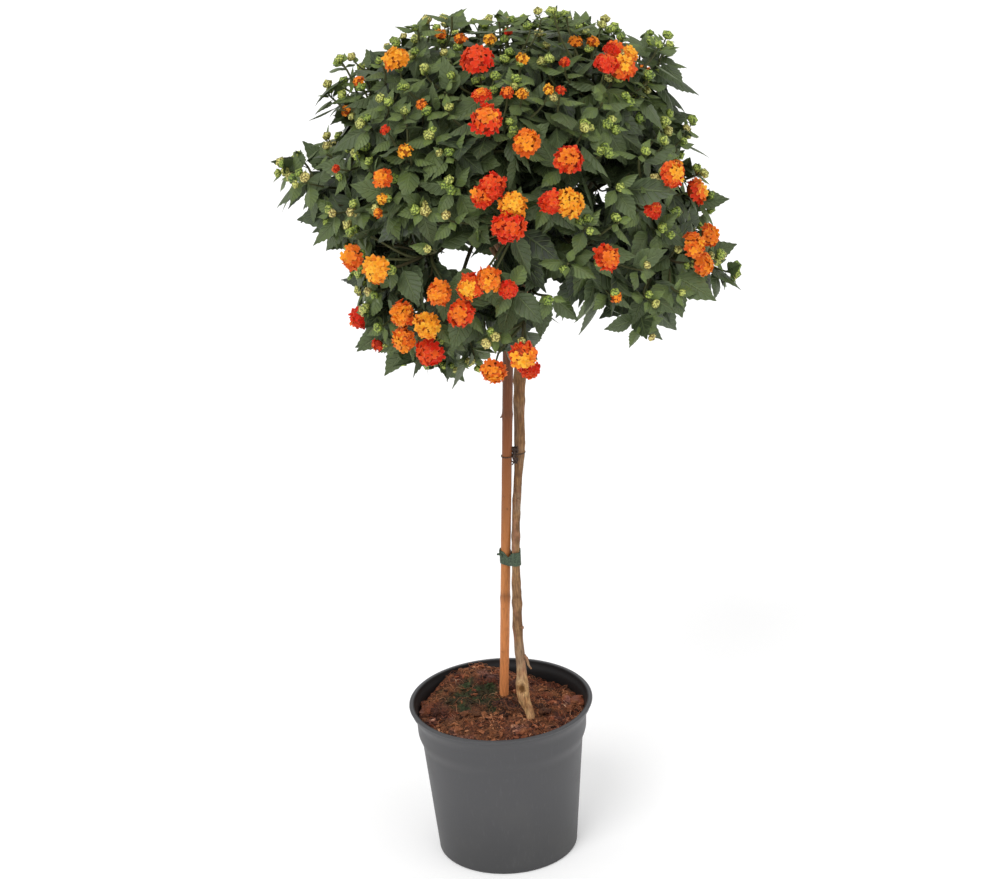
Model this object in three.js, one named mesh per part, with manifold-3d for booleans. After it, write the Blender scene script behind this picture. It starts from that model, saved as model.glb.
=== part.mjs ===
// A lantana grown as a small standard tree in a nursery pot.
// Millimetres, +Z up, the front of the plant towards -Y. The origin is the centre of the pot's flat base.
//
// The pot holds a potting mix. A woody trunk and a bamboo cane stand in the mix, bound together by a green
// band and a wire. The trunk ends in a pruned head that carries eight limbs. Each limb carries leafy shoots,
// and most shoots end in a flower head.

import * as THREE from "three";
import { mergeVertices } from "three/addons/utils/BufferGeometryUtils.js";
import Module from "manifold-3d";

const wasm = await Module();
wasm.setup();

// Driving dimensions.
const POT_HEIGHT = 193;
const POT_RIM_RADIUS = 110;
const POT_BASE_RADIUS = 84;
const POT_BODY_TOP_RADIUS = 96.2; // under the collar
const COLLAR_RADIUS = 101.8;
const WALL = 1.8;
const ROUND_SEGMENTS = 36;
const SOIL_LEVEL = 178; // top of the potting mix under the trunk
const GAP = 0.3; // clearance between pieces that touch
const CANE_RADIUS = 6.1; // at the top, a little less at the foot
const HEAD_KNOB_RADIUS = 15; // the pruned head on top of the trunk
const LIMB_KNOB_RADIUS = 6.5; // the fork at the end of each limb
const LEAF_LENGTH = 58;
const LEAF_WIDTH = 33;
const CROWN = { x: 45, widestAt: 795, radius: 232, rise: 232, drop: 175, fullness: 2.5 };

const material = (colour, roughness) =>
  new THREE.MeshStandardMaterial({ color: colour, roughness, metalness: 0 });
const MATERIALS = {
  pot: material(0x5a5a5e, 0.55),
  mix: material(0x5a3626, 0.95),
  bark: material(0x94734f, 0.85),
  bamboo: material(0xac7246, 0.5),
  band: material(0x2f4a3a, 0.6),
  wire: material(0x3a2a20, 0.6),
  leaf: material(0x2f4a2a, 0.6),
  flower: material(0xee6a20, 0.7),
};

// ---- Solids --------------------------------------------------------------------------------------------

// A closed geometry as a solid, with its shared points merged and its collapsed triangles dropped.
function solid(geometry) {
  const bare = new THREE.BufferGeometry();
  bare.setAttribute("position", geometry.getAttribute("position"));
  bare.setIndex(geometry.index);
  const merged = mergeVertices(bare, 1e-3);
  const corners = merged.index.array;
  const kept = [];
  for (let i = 0; i < corners.length; i += 3) {
    const [a, b, c] = [corners[i], corners[i + 1], corners[i + 2]];
    if (a !== b && b !== c && a !== c) kept.push(a, b, c);
  }
  const mesh = new wasm.Mesh({
    numProp: 3,
    vertProperties: merged.attributes.position.array,
    triVerts: new Uint32Array(kept),
  });
  return new wasm.Manifold(mesh);
}

// A solid as a geometry that three.js can draw.
function geometryOf(body) {
  const mesh = body.getMesh();
  const points = new Float32Array(mesh.numVert * 3);
  for (let i = 0; i < mesh.numVert; i++) {
    points.set(mesh.vertProperties.subarray(i * mesh.numProp, i * mesh.numProp + 3), i * 3);
  }
  const geometry = new THREE.BufferGeometry();
  geometry.setAttribute("position", new THREE.BufferAttribute(points, 3));
  geometry.setIndex(new THREE.BufferAttribute(mesh.triVerts, 1));
  geometry.computeVertexNormals();
  return geometry;
}

function named(name, body, finish) {
  const mesh = new THREE.Mesh(geometryOf(body), finish);
  mesh.name = name;
  return mesh;
}

// A profile of [radius, height] pairs turned about +Z. It runs from the axis to the axis, bottom first.
function turned(profile, segments = ROUND_SEGMENTS) {
  const points = profile.map(([radius, height]) => new THREE.Vector2(radius, height));
  return new THREE.LatheGeometry(points, segments).rotateX(Math.PI / 2);
}

// A closed rod along a curve: a cylinder whose rings are moved onto the curve and given their own radius.
function rod(curve, radiusAt, sides, steps) {
  const geometry = new THREE.CylinderGeometry(1, 1, 1, sides, steps);
  const frames = curve.computeFrenetFrames(steps);
  const place = geometry.getAttribute("position");
  for (let i = 0; i < place.count; i++) {
    const ring = Math.round((place.getY(i) + 0.5) * steps);
    const share = ring / steps;
    const radius = radiusAt(share);
    const point = curve
      .getPointAt(share)
      .addScaledVector(frames.normals[ring], place.getX(i) * radius)
      .addScaledVector(frames.binormals[ring], -place.getZ(i) * radius);
    place.setXYZ(i, point.x, point.y, point.z);
  }
  return geometry;
}

const vector = ([x, y, z]) => new THREE.Vector3(x, y, z);
const lerp = THREE.MathUtils.lerp;
const through = (points) => new THREE.CatmullRomCurve3(points.map(vector), false, "centripetal");
const ball = (centre, radius, sides = 8) =>
  solid(new THREE.SphereGeometry(radius, sides, Math.ceil(sides / 2)).translate(centre.x, centre.y, centre.z));

// ---- Pot and potting mix -------------------------------------------------------------------------------

const COLLAR_FOOT = 141; // height where the wall steps out into the collar
const COLLAR_SHOULDER = 156; // and where it is a collar
const COLLAR_TAPER = 0.6; // from the lip down to the shoulder
const FLARE_START = 174; // height from which the wall flares out to the lip
const FLARE = 5.6;
const LIP_UNDERSIDE = POT_HEIGHT - 3;
const LIP_WIDTH = 7.5;
const LIP_DEPTH = 6.5; // from the top of the lip down to the straight inner wall
const FLOOR = 3;
const DRAIN_HOLES = { count: 8, radius: 5, ring: 68 };

// Inner wall of the pot, from the floor's edge up to the lip.
const POT_INSIDE = [
  [POT_BASE_RADIUS - WALL, FLOOR],
  [POT_BODY_TOP_RADIUS - WALL, COLLAR_FOOT],
  [COLLAR_RADIUS - COLLAR_TAPER - WALL, COLLAR_SHOULDER],
  [COLLAR_RADIUS - WALL, POT_HEIGHT - LIP_DEPTH],
];

function pot() {
  const outside = [
    [0, 0],
    [POT_BASE_RADIUS - 2, 0],
    [POT_BASE_RADIUS, FLOOR],
    [POT_BODY_TOP_RADIUS, COLLAR_FOOT],
    [COLLAR_RADIUS - COLLAR_TAPER, COLLAR_SHOULDER],
    [COLLAR_RADIUS, FLARE_START],
    [COLLAR_RADIUS + 0.4 * FLARE, FLARE_START + 5],
    [COLLAR_RADIUS + FLARE, LIP_UNDERSIDE - 5],
    [POT_RIM_RADIUS - 1, LIP_UNDERSIDE],
    [POT_RIM_RADIUS, LIP_UNDERSIDE + 1],
    [POT_RIM_RADIUS - 1, POT_HEIGHT],
    [POT_RIM_RADIUS - LIP_WIDTH, POT_HEIGHT],
  ];
  const inside = [...POT_INSIDE].reverse();
  let body = solid(turned([...outside, ...inside, [0, FLOOR]]));
  const { count, radius, ring } = DRAIN_HOLES;
  for (let i = 0; i < count; i++) {
    const angle = ((i + 0.5) / count) * 2 * Math.PI;
    const drill = new THREE.CylinderGeometry(radius, radius, 4 * FLOOR, 8).rotateX(Math.PI / 2);
    drill.translate(ring * Math.cos(angle), ring * Math.sin(angle), 0);
    body = body.subtract(solid(drill));
  }
  return body;
}

const MIX_EDGE = 171; // height of the mix at the pot's wall
const MIX_TOP = SOIL_LEVEL + 2; // and in the middle
const MIX_RINGS = [99.3, 86, 68, 50, 32, 15]; // radii of the rings of its top
const LUMP_HEIGHT = 1.6;
const HEAP = { x: -38, y: 78, height: 20, spread: 58 }; // where the mix is piled up against the wall

// The mix is pressed against the pot's wall and heaped towards the middle and the back left, with a rough top.
function mix(buried) {
  const bottom = FLOOR + GAP;
  const side = POT_INSIDE.slice(0, 3).map(([radius, height]) => [radius - GAP, Math.max(height, bottom)]);
  const slope = (i) => MIX_EDGE + (MIX_TOP - MIX_EDGE) * (i / MIX_RINGS.length) ** 0.6;
  const top = MIX_RINGS.map((radius, i) => [radius, slope(i)]);
  const geometry = turned([[0, bottom], ...side, ...top, [0, MIX_TOP]]);
  const place = geometry.getAttribute("position");
  for (let i = 0; i < place.count; i++) {
    const [x, y, z] = [place.getX(i), place.getY(i), place.getZ(i)];
    if (z < MIX_EDGE - GAP) continue;
    const inside = Math.max(0, MIX_RINGS[1] - Math.hypot(x, y));
    const lumps = Math.sin(x * 0.09 + 1.3) * Math.cos(y * 0.11) + 0.6 * Math.sin((x - y) * 0.21);
    const heap = HEAP.height * Math.exp(-((x - HEAP.x) ** 2 + (y - HEAP.y) ** 2) / HEAP.spread ** 2);
    place.setZ(i, z + LUMP_HEIGHT * lumps * Math.min(1, inside / 26) + heap);
  }
  return buried.reduce((rest, piece) => rest.subtract(piece), solid(geometry));
}

// ---- Trunk, cane and ties ------------------------------------------------------------------------------

const TRUNK_HEAD = [50, 0, 690];
const TRUNK_PATH = [
  [38, -25, 118],
  [34.3, -21, SOIL_LEVEL],
  [31.7, -19.5, 190],
  [28, -18, 200],
  [26.8, -17, 214],
  [26.6, -15, 240],
  [24.9, -12, 285],
  [25.6, -8, 325],
  [27.5, -2, 385],
  [31.3, 0, 446],
  [38, 0, 515],
  [41.4, 0, 585],
  TRUNK_HEAD,
];
// The trunk's radius at some heights: a thin foot, a thick knob above it, and a slender middle.
const TRUNK_GIRTH = [
  [118, 5.5],
  [182, 5.1],
  [192, 5.7],
  [203, 7.2],
  [212, 7.9],
  [220, 7.8],
  [229, 6.3],
  [240, 5.6],
  [276, 5.6],
  [326, 5.2],
  [376, 4.6],
  [477, 4.9],
  [527, 6.1],
  [590, 6.5],
];
const TRUNK_JOINTS = [292, 322, 348, 405, 452, 508, 600]; // heights of its old leaf joints
const CANE_FOOT = [-4.7, 44.8, 24];
const CANE_TOP = [33.2, -29, 690];
const CANE_FOOT_RADIUS = 5.3;
const CANE_JOINTS = [0.08, 0.447, 0.814]; // as shares of its length
const BAND_HEIGHT = 377;
const WIRE_HEIGHT = 512;

// A joint swells the stem around it; the swelling fades within its width.
const swelling = (place, joints, width, size) =>
  joints.reduce((sum, joint) => sum + size * Math.exp(-(((place - joint) / width) ** 2)), 0);

// A path's first point moved down by some depth, so that a hole cut for the rod is deeper than the rod.
const deeper = ([first, ...rest], depth) => [[first[0], first[1], first[2] - depth], ...rest];

function trunkRadius(height) {
  const last = TRUNK_GIRTH.length - 1;
  const next = TRUNK_GIRTH.findIndex(([level], i) => i > 0 && (level >= height || i === last));
  const [[low, from], [high, to]] = [TRUNK_GIRTH[next - 1], TRUNK_GIRTH[next]];
  const share = THREE.MathUtils.clamp((height - low) / (high - low), 0, 1);
  return lerp(from, to, share) + swelling(height, TRUNK_JOINTS, 6, 0.6);
}

function trunkRod(extra = 0) {
  const path = through(deeper(TRUNK_PATH, extra));
  return solid(rod(path, (share) => trunkRadius(path.getPointAt(share).z) + extra, 8, 58));
}

// Short ends of side shoots that were cut off the trunk: [height, azimuth in degrees].
const TRUNK_STUBS = [
  [249, 5],
  [292, -50],
  [452, -75],
];
const STUB = { length: 9, rise: 3, radius: 2 };

function trunk() {
  const path = through(TRUNK_PATH);
  let body = trunkRod().add(ball(vector(TRUNK_HEAD), HEAD_KNOB_RADIUS, 10));
  for (const [height, azimuth] of TRUNK_STUBS) {
    const root = atHeight(path, height);
    const angle = THREE.MathUtils.degToRad(azimuth);
    const way = new THREE.Vector3(STUB.length * Math.cos(angle), STUB.length * Math.sin(angle), STUB.rise);
    body = body.add(solid(rod(new THREE.LineCurve3(root, root.clone().add(way)), () => STUB.radius, 5, 1)));
  }
  return body;
}

const caneLine = (depth = 0) => new THREE.LineCurve3(...deeper([CANE_FOOT, CANE_TOP], depth).map(vector));
const caneRadius = (share) => lerp(CANE_FOOT_RADIUS, CANE_RADIUS, share) + swelling(share, CANE_JOINTS, 0.008, 0.6);
const cane = (extra = 0) => solid(rod(caneLine(extra), (share) => caneRadius(share) + extra, 8, 30));

// The point of a path at a height, found by halving.
function atHeight(path, height) {
  let [low, high] = [0, 1];
  for (let i = 0; i < 30; i++) {
    const middle = (low + high) / 2;
    if (path.getPointAt(middle).z < height) low = middle;
    else high = middle;
  }
  return path.getPointAt(low);
}

// Draws the outline of two round ends joined by straight sides, round the cane and the trunk at a height.
function roundBoth(line, height, extra) {
  const ends = [atHeight(caneLine(), height), atHeight(through(TRUNK_PATH), height)];
  const along = Math.atan2(ends[1].y - ends[0].y, ends[1].x - ends[0].x);
  const [aside, back] = [along + Math.PI / 2, along + (3 * Math.PI) / 2];
  const caneSide = caneRadius((height - CANE_FOOT[2]) / (CANE_TOP[2] - CANE_FOOT[2]));
  line.absarc(ends[1].x, ends[1].y, trunkRadius(height) + extra, aside - Math.PI, aside, false);
  line.absarc(ends[0].x, ends[0].y, caneSide + extra, aside, back, false);
  line.closePath();
  return line;
}

// A flat loop around the trunk and the cane. The stems' own holes in it keep it just off their sides.
function loop(height, tall, thickness, holes) {
  const outline = roundBoth(new THREE.Shape(), height, thickness);
  outline.holes.push(roundBoth(new THREE.Path(), height, 0));
  const band = new THREE.ExtrudeGeometry(outline, { depth: tall, bevelEnabled: false, curveSegments: 5 });
  band.translate(0, 0, height - tall / 2);
  return holes.reduce((rest, piece) => rest.subtract(piece), solid(band));
}

// ---- Crown ---------------------------------------------------------------------------------------------

const polar = (azimuth, radius, height) => {
  const angle = THREE.MathUtils.degToRad(azimuth);
  return new THREE.Vector3(CROWN.x + radius * Math.cos(angle), radius * Math.sin(angle), height);
};

// The crown is a full dome: its radius at a height follows a superellipse above and below its widest part.
function crownRadius(height) {
  const above = height > CROWN.widestAt;
  const share = Math.abs(height - CROWN.widestAt) / (above ? CROWN.rise : CROWN.drop);
  return CROWN.radius * Math.max(0, 1 - share ** CROWN.fullness) ** (1 / CROWN.fullness);
}

// The way a shoot's tip points: out of the dome, and a little upwards.
function outward(azimuth, height) {
  const step = 4;
  const slope = (crownRadius(height - step) - crownRadius(height + step)) / (2 * step);
  const angle = THREE.MathUtils.degToRad(azimuth);
  const out = new THREE.Vector3(Math.cos(angle), Math.sin(angle), slope + 0.25);
  return out.normalize();
}

// Limbs: [azimuth, distance of the fork from the crown's axis, height of the fork].
const LIMBS = [
  [100, 12, 865],
  [240, 88, 800],
  [292, 92, 810],
  [343, 98, 800],
  [32, 95, 800],
  [85, 95, 805],
  [137, 95, 800],
  [188, 98, 805],
];

// Shoots: [limb, azimuth, height of the tip, flower head's diameter or 0, reach beyond the dome].
const SHOOTS = [
  [0, 254, 1004, 34, 0],
  [0, 322, 990, 32, 0],
  [0, 60, 1000, 0, 0],
  [0, 160, 1000, 0, 4],
  [1, 262, 965, 33, 0],
  [1, 229, 905, 20, 0],
  [1, 230, 806, 28, 0],
  [1, 243, 712, 30, -12],
  [2, 286, 924, 30, 0],
  [2, 268, 862, 34, 0],
  [2, 294, 818, 28, 0],
  [2, 270, 716, 32, 0],
  [3, 319, 883, 27, 0],
  [3, 333, 768, 26, 0],
  [3, 354, 850, 0, 0],
  [4, 12, 935, 30, 0],
  [4, 28, 835, 0, 6],
  [4, 8, 730, 0, 22],
  [5, 72, 930, 0, 0],
  [5, 88, 838, 30, 0],
  [5, 78, 735, 0, 0],
  [6, 128, 930, 30, 0],
  [6, 142, 835, 0, 6],
  [6, 134, 730, 28, 0],
  [7, 200, 950, 30, 0],
  [7, 178, 850, 0, 42],
  [7, 196, 738, 30, -25],
];

const HEAD_STALK = 15; // from the shoot's tip to the underside of a flower head

const forkOf = ([azimuth, distance, height]) => polar(azimuth, distance, height);

function limb(row) {
  const from = vector(TRUNK_HEAD);
  const to = forkOf(row);
  const middle = from.clone().lerp(to, 0.5).add(new THREE.Vector3(0, 0, -8));
  const path = new THREE.CatmullRomCurve3([from, middle, to]);
  const wood = solid(rod(path, (share) => lerp(4.2, 3.2, share), 6, 4)).add(ball(to, LIMB_KNOB_RADIUS));
  return wood.subtract(ball(from, HEAD_KNOB_RADIUS + GAP, 10));
}

// The stem of a shoot rises out of its fork, bends over and ends at the tip, pointing outward.
function shootPath([limbIndex, azimuth, height, , reach]) {
  const from = forkOf(LIMBS[limbIndex]);
  const out = outward(azimuth, height);
  const inset = 22 - reach;
  const tip = polar(azimuth, crownRadius(height), height).addScaledVector(out, -inset);
  const span = from.distanceTo(tip);
  const start = tip.clone().sub(from).normalize().add(new THREE.Vector3(0, 0, 0.25)).normalize();
  return new THREE.CubicBezierCurve3(
    from,
    from.clone().addScaledVector(start, span * 0.35),
    tip.clone().addScaledVector(out, -span * 0.3),
    tip,
  );
}

// A leaf blade lies along +Y with its upper side to +Z: a ball with four meridians, drawn out into a
// pointed oval with a thin stalk. Each station is [share of the length, half width, half thickness].
const LEAF_STATIONS = [
  [0, 0, 0],
  [0.14, 1.2, 0.9],
  [0.52, LEAF_WIDTH / 2, 0.9],
  [1, 0, 0],
];

function leafGeometry() {
  const geometry = new THREE.SphereGeometry(1, 4, 3);
  const place = geometry.getAttribute("position");
  for (let i = 0; i < place.count; i++) {
    const ring = Math.round((Math.acos(THREE.MathUtils.clamp(place.getY(i), -1, 1)) / Math.PI) * 3);
    const [share, halfWidth, halfThickness] = LEAF_STATIONS[3 - ring];
    const round = Math.max(Math.hypot(place.getX(i), place.getZ(i)), 1e-6);
    const side = ring % 3 === 0 ? 0 : place.getX(i) / round;
    const up = ring % 3 === 0 ? 0 : place.getZ(i) / round;
    const sag = -12 * share * share;
    const fold = 0.22 * Math.abs(side) * halfWidth;
    place.setXYZ(i, side * halfWidth, share * LEAF_LENGTH, up * halfThickness + sag + fold);
  }
  return geometry;
}

// Places something made along +Y with its top to +Z: at a point, along a direction, its top turned towards up.
function aimed(point, along, up, scale) {
  const side = new THREE.Vector3().crossVectors(along, up).normalize();
  const top = new THREE.Vector3().crossVectors(side, along).normalize();
  const turn = new THREE.Matrix4().makeBasis(side, along, top);
  return turn.scale(vector([scale, scale, scale])).setPosition(point);
}

const leafSolid = solid(leafGeometry());
const STEM_STEPS = 8;
const LEAF_PAIRS = [3, 4, 5, 6, 8]; // the stem's steps that carry a pair of leaves
const LEAF_SCALE = [0.95, 1, 1.05, 1, 0.75];

// The two leaves of a pair stand opposite, and each pair is turned a quarter from the one below.
function leafMatrices(path, turn) {
  return LEAF_PAIRS.flatMap((step, pair) => {
    const share = step / STEM_STEPS;
    const point = path.getPointAt(share);
    const stem = path.getTangentAt(share);
    const level = new THREE.Vector3().crossVectors(stem, new THREE.Vector3(0, 0, 1)).normalize();
    level.applyAxisAngle(stem, turn + (pair % 2) * (Math.PI / 2));
    return [1, -1].map((way) => {
      const along = level.clone().multiplyScalar(way * 0.85).addScaledVector(stem, 0.55);
      along.z -= 0.12;
      along.normalize();
      return aimed(point, along, new THREE.Vector3(stem.x, stem.y, stem.z + 0.8), LEAF_SCALE[pair]);
    });
  });
}

function headGeometry() {
  const profile = [
    [0, 0],
    [1.2, 0],
    [1.4, HEAD_STALK],
    [16, HEAD_STALK + 5],
    [12, HEAD_STALK + 14],
    [0, HEAD_STALK + 17],
  ];
  return turned(profile, 8);
}

const HEAD_DIAMETER = 32; // of the profile above, before it is scaled
const TIP_BEAD_RADIUS = 2.3; // the swollen end of a shoot, which carries the flower head's stalk

function headMatrix(path, diameter) {
  const tip = path.getPointAt(1);
  const out = path.getTangentAt(1);
  const turn = new THREE.Quaternion().setFromUnitVectors(new THREE.Vector3(0, 0, 1), out);
  const size = diameter / HEAD_DIAMETER;
  tip.addScaledVector(out, TIP_BEAD_RADIUS + GAP);
  return new THREE.Matrix4().compose(tip, turn, vector([size, size, size]));
}

const twoDigits = (number) => String(number).padStart(2, "0");
const nearer = (a, b) => a.minGap(b, 1) < 2 * GAP;

// Stems and flower heads come first. Then the leaves grow, and one that would touch another piece is left out.
function crown(standing) {
  const limbs = LIMBS.map(limb);
  const paths = SHOOTS.map(shootPath);
  const forks = LIMBS.map((row) => ball(forkOf(row), LIMB_KNOB_RADIUS + GAP));
  const shoots = SHOOTS.map(([limbIndex], i) =>
    solid(rod(paths[i], (share) => lerp(2, 1.4, share), 4, STEM_STEPS))
      .add(ball(paths[i].getPointAt(1), TIP_BEAD_RADIUS, 5))
      .subtract(forks[limbIndex]),
  );
  const bloom = SHOOTS.map((row, i) => ({ row, i })).filter(({ row }) => row[3] > 0);
  const headShape = headGeometry();
  const heads = bloom.map(({ row, i }) => {
    const mesh = new THREE.Mesh(headShape, MATERIALS.flower);
    mesh.applyMatrix4(headMatrix(paths[i], row[3]));
    return mesh;
  });
  heads.forEach((mesh, i) => {
    mesh.name = "flower_head_" + twoDigits(i + 1);
    mesh.updateMatrix();
  });
  const headSolids = heads.map((mesh) => solid(headShape).transform(mesh.matrix.toArray()));
  const fixed = [...standing, ...limbs, ...headSolids];
  SHOOTS.forEach((row, i) => {
    for (const matrix of leafMatrices(paths[i], (i * Math.PI) / 5)) {
      const leaf = leafSolid.transform(matrix.toArray());
      const others = [...fixed, ...shoots.filter((other, j) => j !== i)];
      if (!others.some((other) => nearer(leaf, other))) shoots[i] = shoots[i].add(leaf);
    }
  });
  return [
    ...limbs.map((body, i) => named("limb_" + (i + 1), body, MATERIALS.bark)),
    ...shoots.map((body, i) => named("shoot_" + twoDigits(i + 1), body, MATERIALS.leaf)),
    ...heads,
  ];
}

// ---- Assembly ------------------------------------------------------------------------------------------

const potGroup = new THREE.Group();
potGroup.add(named("pot", pot(), MATERIALS.pot));
potGroup.add(named("potting_mix", mix([trunkRod(GAP), cane(GAP)]), MATERIALS.mix));

const trunkSolid = trunk();
const caneSolid = cane();
const stand = new THREE.Group();
stand.add(named("trunk", trunkSolid, MATERIALS.bark));
stand.add(named("bamboo_cane", caneSolid, MATERIALS.bamboo));
stand.add(named("green_band", loop(BAND_HEIGHT, 15, 1.2, [trunkRod(GAP), cane(GAP)]), MATERIALS.band));
stand.add(named("wire_tie", loop(WIRE_HEIGHT, 2.4, 1.6, [trunkRod(GAP), cane(GAP)]), MATERIALS.wire));

const crownGroup = new THREE.Group();
crownGroup.add(...crown([trunkSolid, caneSolid]));

const lantana = new THREE.Group();
lantana.name = "lantana_standard";
lantana.add(potGroup, stand, crownGroup);

export default lantana;
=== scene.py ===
"""A lantana grown as a small standard tree in a nursery pot: its finished surfaces, studio and camera.

Metres, +Z up, the front of the plant towards -Y, the origin at the centre of the pot's flat base.
Part 1 holds the sizes, part 2 the ways of shaping, part 3 the finishes, part 4 the pot, the stem and
the ties, part 5 the leaves and flowers, part 6 the crown, and part 7 the studio.
"""

import bisect
import contextlib
import math
import random

import bmesh
import bpy
from mathutils import Matrix, Vector, geometry, noise


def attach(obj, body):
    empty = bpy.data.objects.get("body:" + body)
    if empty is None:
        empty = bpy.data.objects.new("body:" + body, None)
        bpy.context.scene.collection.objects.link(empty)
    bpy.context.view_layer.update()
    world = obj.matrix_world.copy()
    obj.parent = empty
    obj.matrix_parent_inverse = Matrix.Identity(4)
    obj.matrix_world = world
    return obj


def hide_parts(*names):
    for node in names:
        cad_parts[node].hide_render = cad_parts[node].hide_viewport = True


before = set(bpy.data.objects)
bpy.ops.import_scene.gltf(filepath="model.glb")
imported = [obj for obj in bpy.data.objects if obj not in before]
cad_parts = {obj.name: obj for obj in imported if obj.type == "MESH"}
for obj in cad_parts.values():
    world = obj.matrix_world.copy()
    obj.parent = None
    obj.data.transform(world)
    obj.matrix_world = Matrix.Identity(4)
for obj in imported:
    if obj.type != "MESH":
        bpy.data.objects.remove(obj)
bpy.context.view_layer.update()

UP = Vector((0, 0, 1))
SEEDS = {"mix": 11, "wire": 5, "crown": 27}

# ---- 1. Sizes ------------------------------------------------------------------------------------------

POT_HEIGHT = 0.193
POT_RIM_RADIUS = 0.110
POT_BASE_RADIUS = 0.084
POT_BODY_TOP_RADIUS = 0.0962
COLLAR_RADIUS = 0.1018
COLLAR_FOOT = 0.141
COLLAR_SHOULDER = 0.156
FLARE_START = 0.174  # height from which the wall flares out to the lip
FLARE = 0.0056
LIP_UNDERSIDE = 0.190
LIP_INSIDE_RADIUS = 0.1042
POT_WALL = 0.0018
DRAIN_HOLES = {"count": 8, "radius": 0.005, "ring": 0.068}

MIX_EDGE = 0.171
MIX_TOP = 0.180
MIX_RADIUS = 0.0993
HEAP = {"x": -0.036, "y": 0.080, "height": 0.021, "spread": 0.054}
MOSS = {"x": -0.030, "y": 0.026, "half_width": 0.042, "half_depth": 0.034}
DARK_PATCH = {"x": 0.012, "y": 0.002, "edge": 0.0316, "core": 0.01}  # a darker patch and its two radii
CHIPS = 1500
CHIP_SIZES = (0.003, 0.004, 0.005, 0.007, 0.009, 0.013)
THREADS = 860  # fibres of coir

# Clods of bark that stand out of the mix: x, y, radius, shade.
CLODS = [
    (0.008, -0.004, 0.0085, 0.30), (0.001, 0.006, 0.0070, 0.22), (0.014, -0.012, 0.0065, 0.40),
    (0.004, -0.014, 0.0060, 0.15), (-0.031, -0.010, 0.0080, 0.25), (-0.042, -0.006, 0.0055, 0.35),
    (-0.020, -0.016, 0.0050, 0.45), (-0.088, 0.012, 0.0075, 0.42), (-0.078, 0.004, 0.0070, 0.25),
    (-0.066, 0.002, 0.0060, 0.30), (-0.091, 0.026, 0.0055, 0.35), (0.090, 0.014, 0.0080, 0.50),
    (0.084, 0.003, 0.0060, 0.40), (0.080, 0.024, 0.0060, 0.55), (0.052, -0.014, 0.0070, 0.20),
    (0.047, -0.002, 0.0060, 0.15), (0.060, 0.034, 0.0060, 0.45), (-0.012, 0.052, 0.0060, 0.30),
    (0.018, 0.048, 0.0065, 0.25), (-0.055, -0.040, 0.0055, 0.55), (0.022, -0.058, 0.0060, 0.50),
]

TRUNK_HEAD = Vector((0.050, 0, 0.690))
TRUNK_POINTS = [
    (0.038, -0.025, 0.118),
    (0.0343, -0.021, 0.178),
    (0.0317, -0.0195, 0.190),
    (0.028, -0.018, 0.200),
    (0.0268, -0.017, 0.214),
    (0.0266, -0.015, 0.240),
    (0.0249, -0.012, 0.285),
    (0.0256, -0.008, 0.325),
    (0.0275, -0.002, 0.385),
    (0.0313, 0, 0.446),
    (0.038, 0, 0.515),
    (0.0414, 0, 0.585),
    TRUNK_HEAD,
]
# The trunk's radius at some heights: a thin foot, a thick knob above it, and a slender middle.
TRUNK_GIRTH = [
    (0.118, 0.0055), (0.182, 0.0051), (0.192, 0.0057), (0.203, 0.0072), (0.212, 0.0079),
    (0.220, 0.0078), (0.229, 0.0063), (0.240, 0.0056), (0.276, 0.0056), (0.326, 0.0052),
    (0.376, 0.0046), (0.477, 0.0049), (0.527, 0.0061), (0.590, 0.0065),
]
TRUNK_JOINTS = [0.292, 0.322, 0.348, 0.405, 0.452, 0.508, 0.600]  # heights of its old leaf joints
TRUNK_STUBS = [(0.249, 5), (0.292, -50), (0.452, -75)]  # height, azimuth
KNOB_RADIUS = 0.015
SCAR_HEIGHT = 0.2165
PEEL_HEIGHT = 0.252  # of the loose strip of bark
CANE_FOOT = Vector((-0.0047, 0.0448, 0.024))
CANE_TOP = Vector((0.0332, -0.029, 0.690))
CANE_FOOT_RADIUS = 0.0053
CANE_RADIUS = 0.0061  # at the top
CANE_JOINTS = [0.08, 0.447, 0.814]  # as shares of its length
BAND_HEIGHT = 0.377
WIRE_HEIGHT = 0.512
WIRE_TURNS = 8  # strands in its knot

# The dome of the crown: its axis, where it is widest, and how far it rises and drops from there.
CROWN = {"x": 0.045, "widest_at": 0.795, "radius": 0.232, "rise": 0.232, "drop": 0.175, "fullness": 2.5}

# Where the foliage stands out of the dome or draws in: azimuth, height, half angle, half height, push.
BULGES = [
    (0, 0.710, 50, 0.042, 0.036), (0, 0.855, 45, 0.038, -0.030), (0, 0.946, 42, 0.023, -0.038),
    (355, 1.004, 48, 0.026, 0.038), (180, 0.874, 34, 0.026, 0.038), (185, 0.760, 45, 0.045, -0.034),
    (180, 0.920, 30, 0.017, -0.030), (182, 0.962, 42, 0.030, 0.019), (0, 1.005, 400, 0.030, 0.010),
]

# Limbs: azimuth, distance of the fork from the crown's axis, height of the fork.
LIMBS = [
    (100, 0.012, 0.865), (240, 0.088, 0.800), (292, 0.092, 0.810), (343, 0.098, 0.800),
    (32, 0.095, 0.800), (85, 0.095, 0.805), (137, 0.095, 0.800), (188, 0.098, 0.805),
]

# The bends that a limb may take to leave the light gaps free: how far along, and how far down.
LIMB_BENDS = [(0.5, 0.008), (0.45, -0.020), (0.3, -0.050)]

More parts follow.
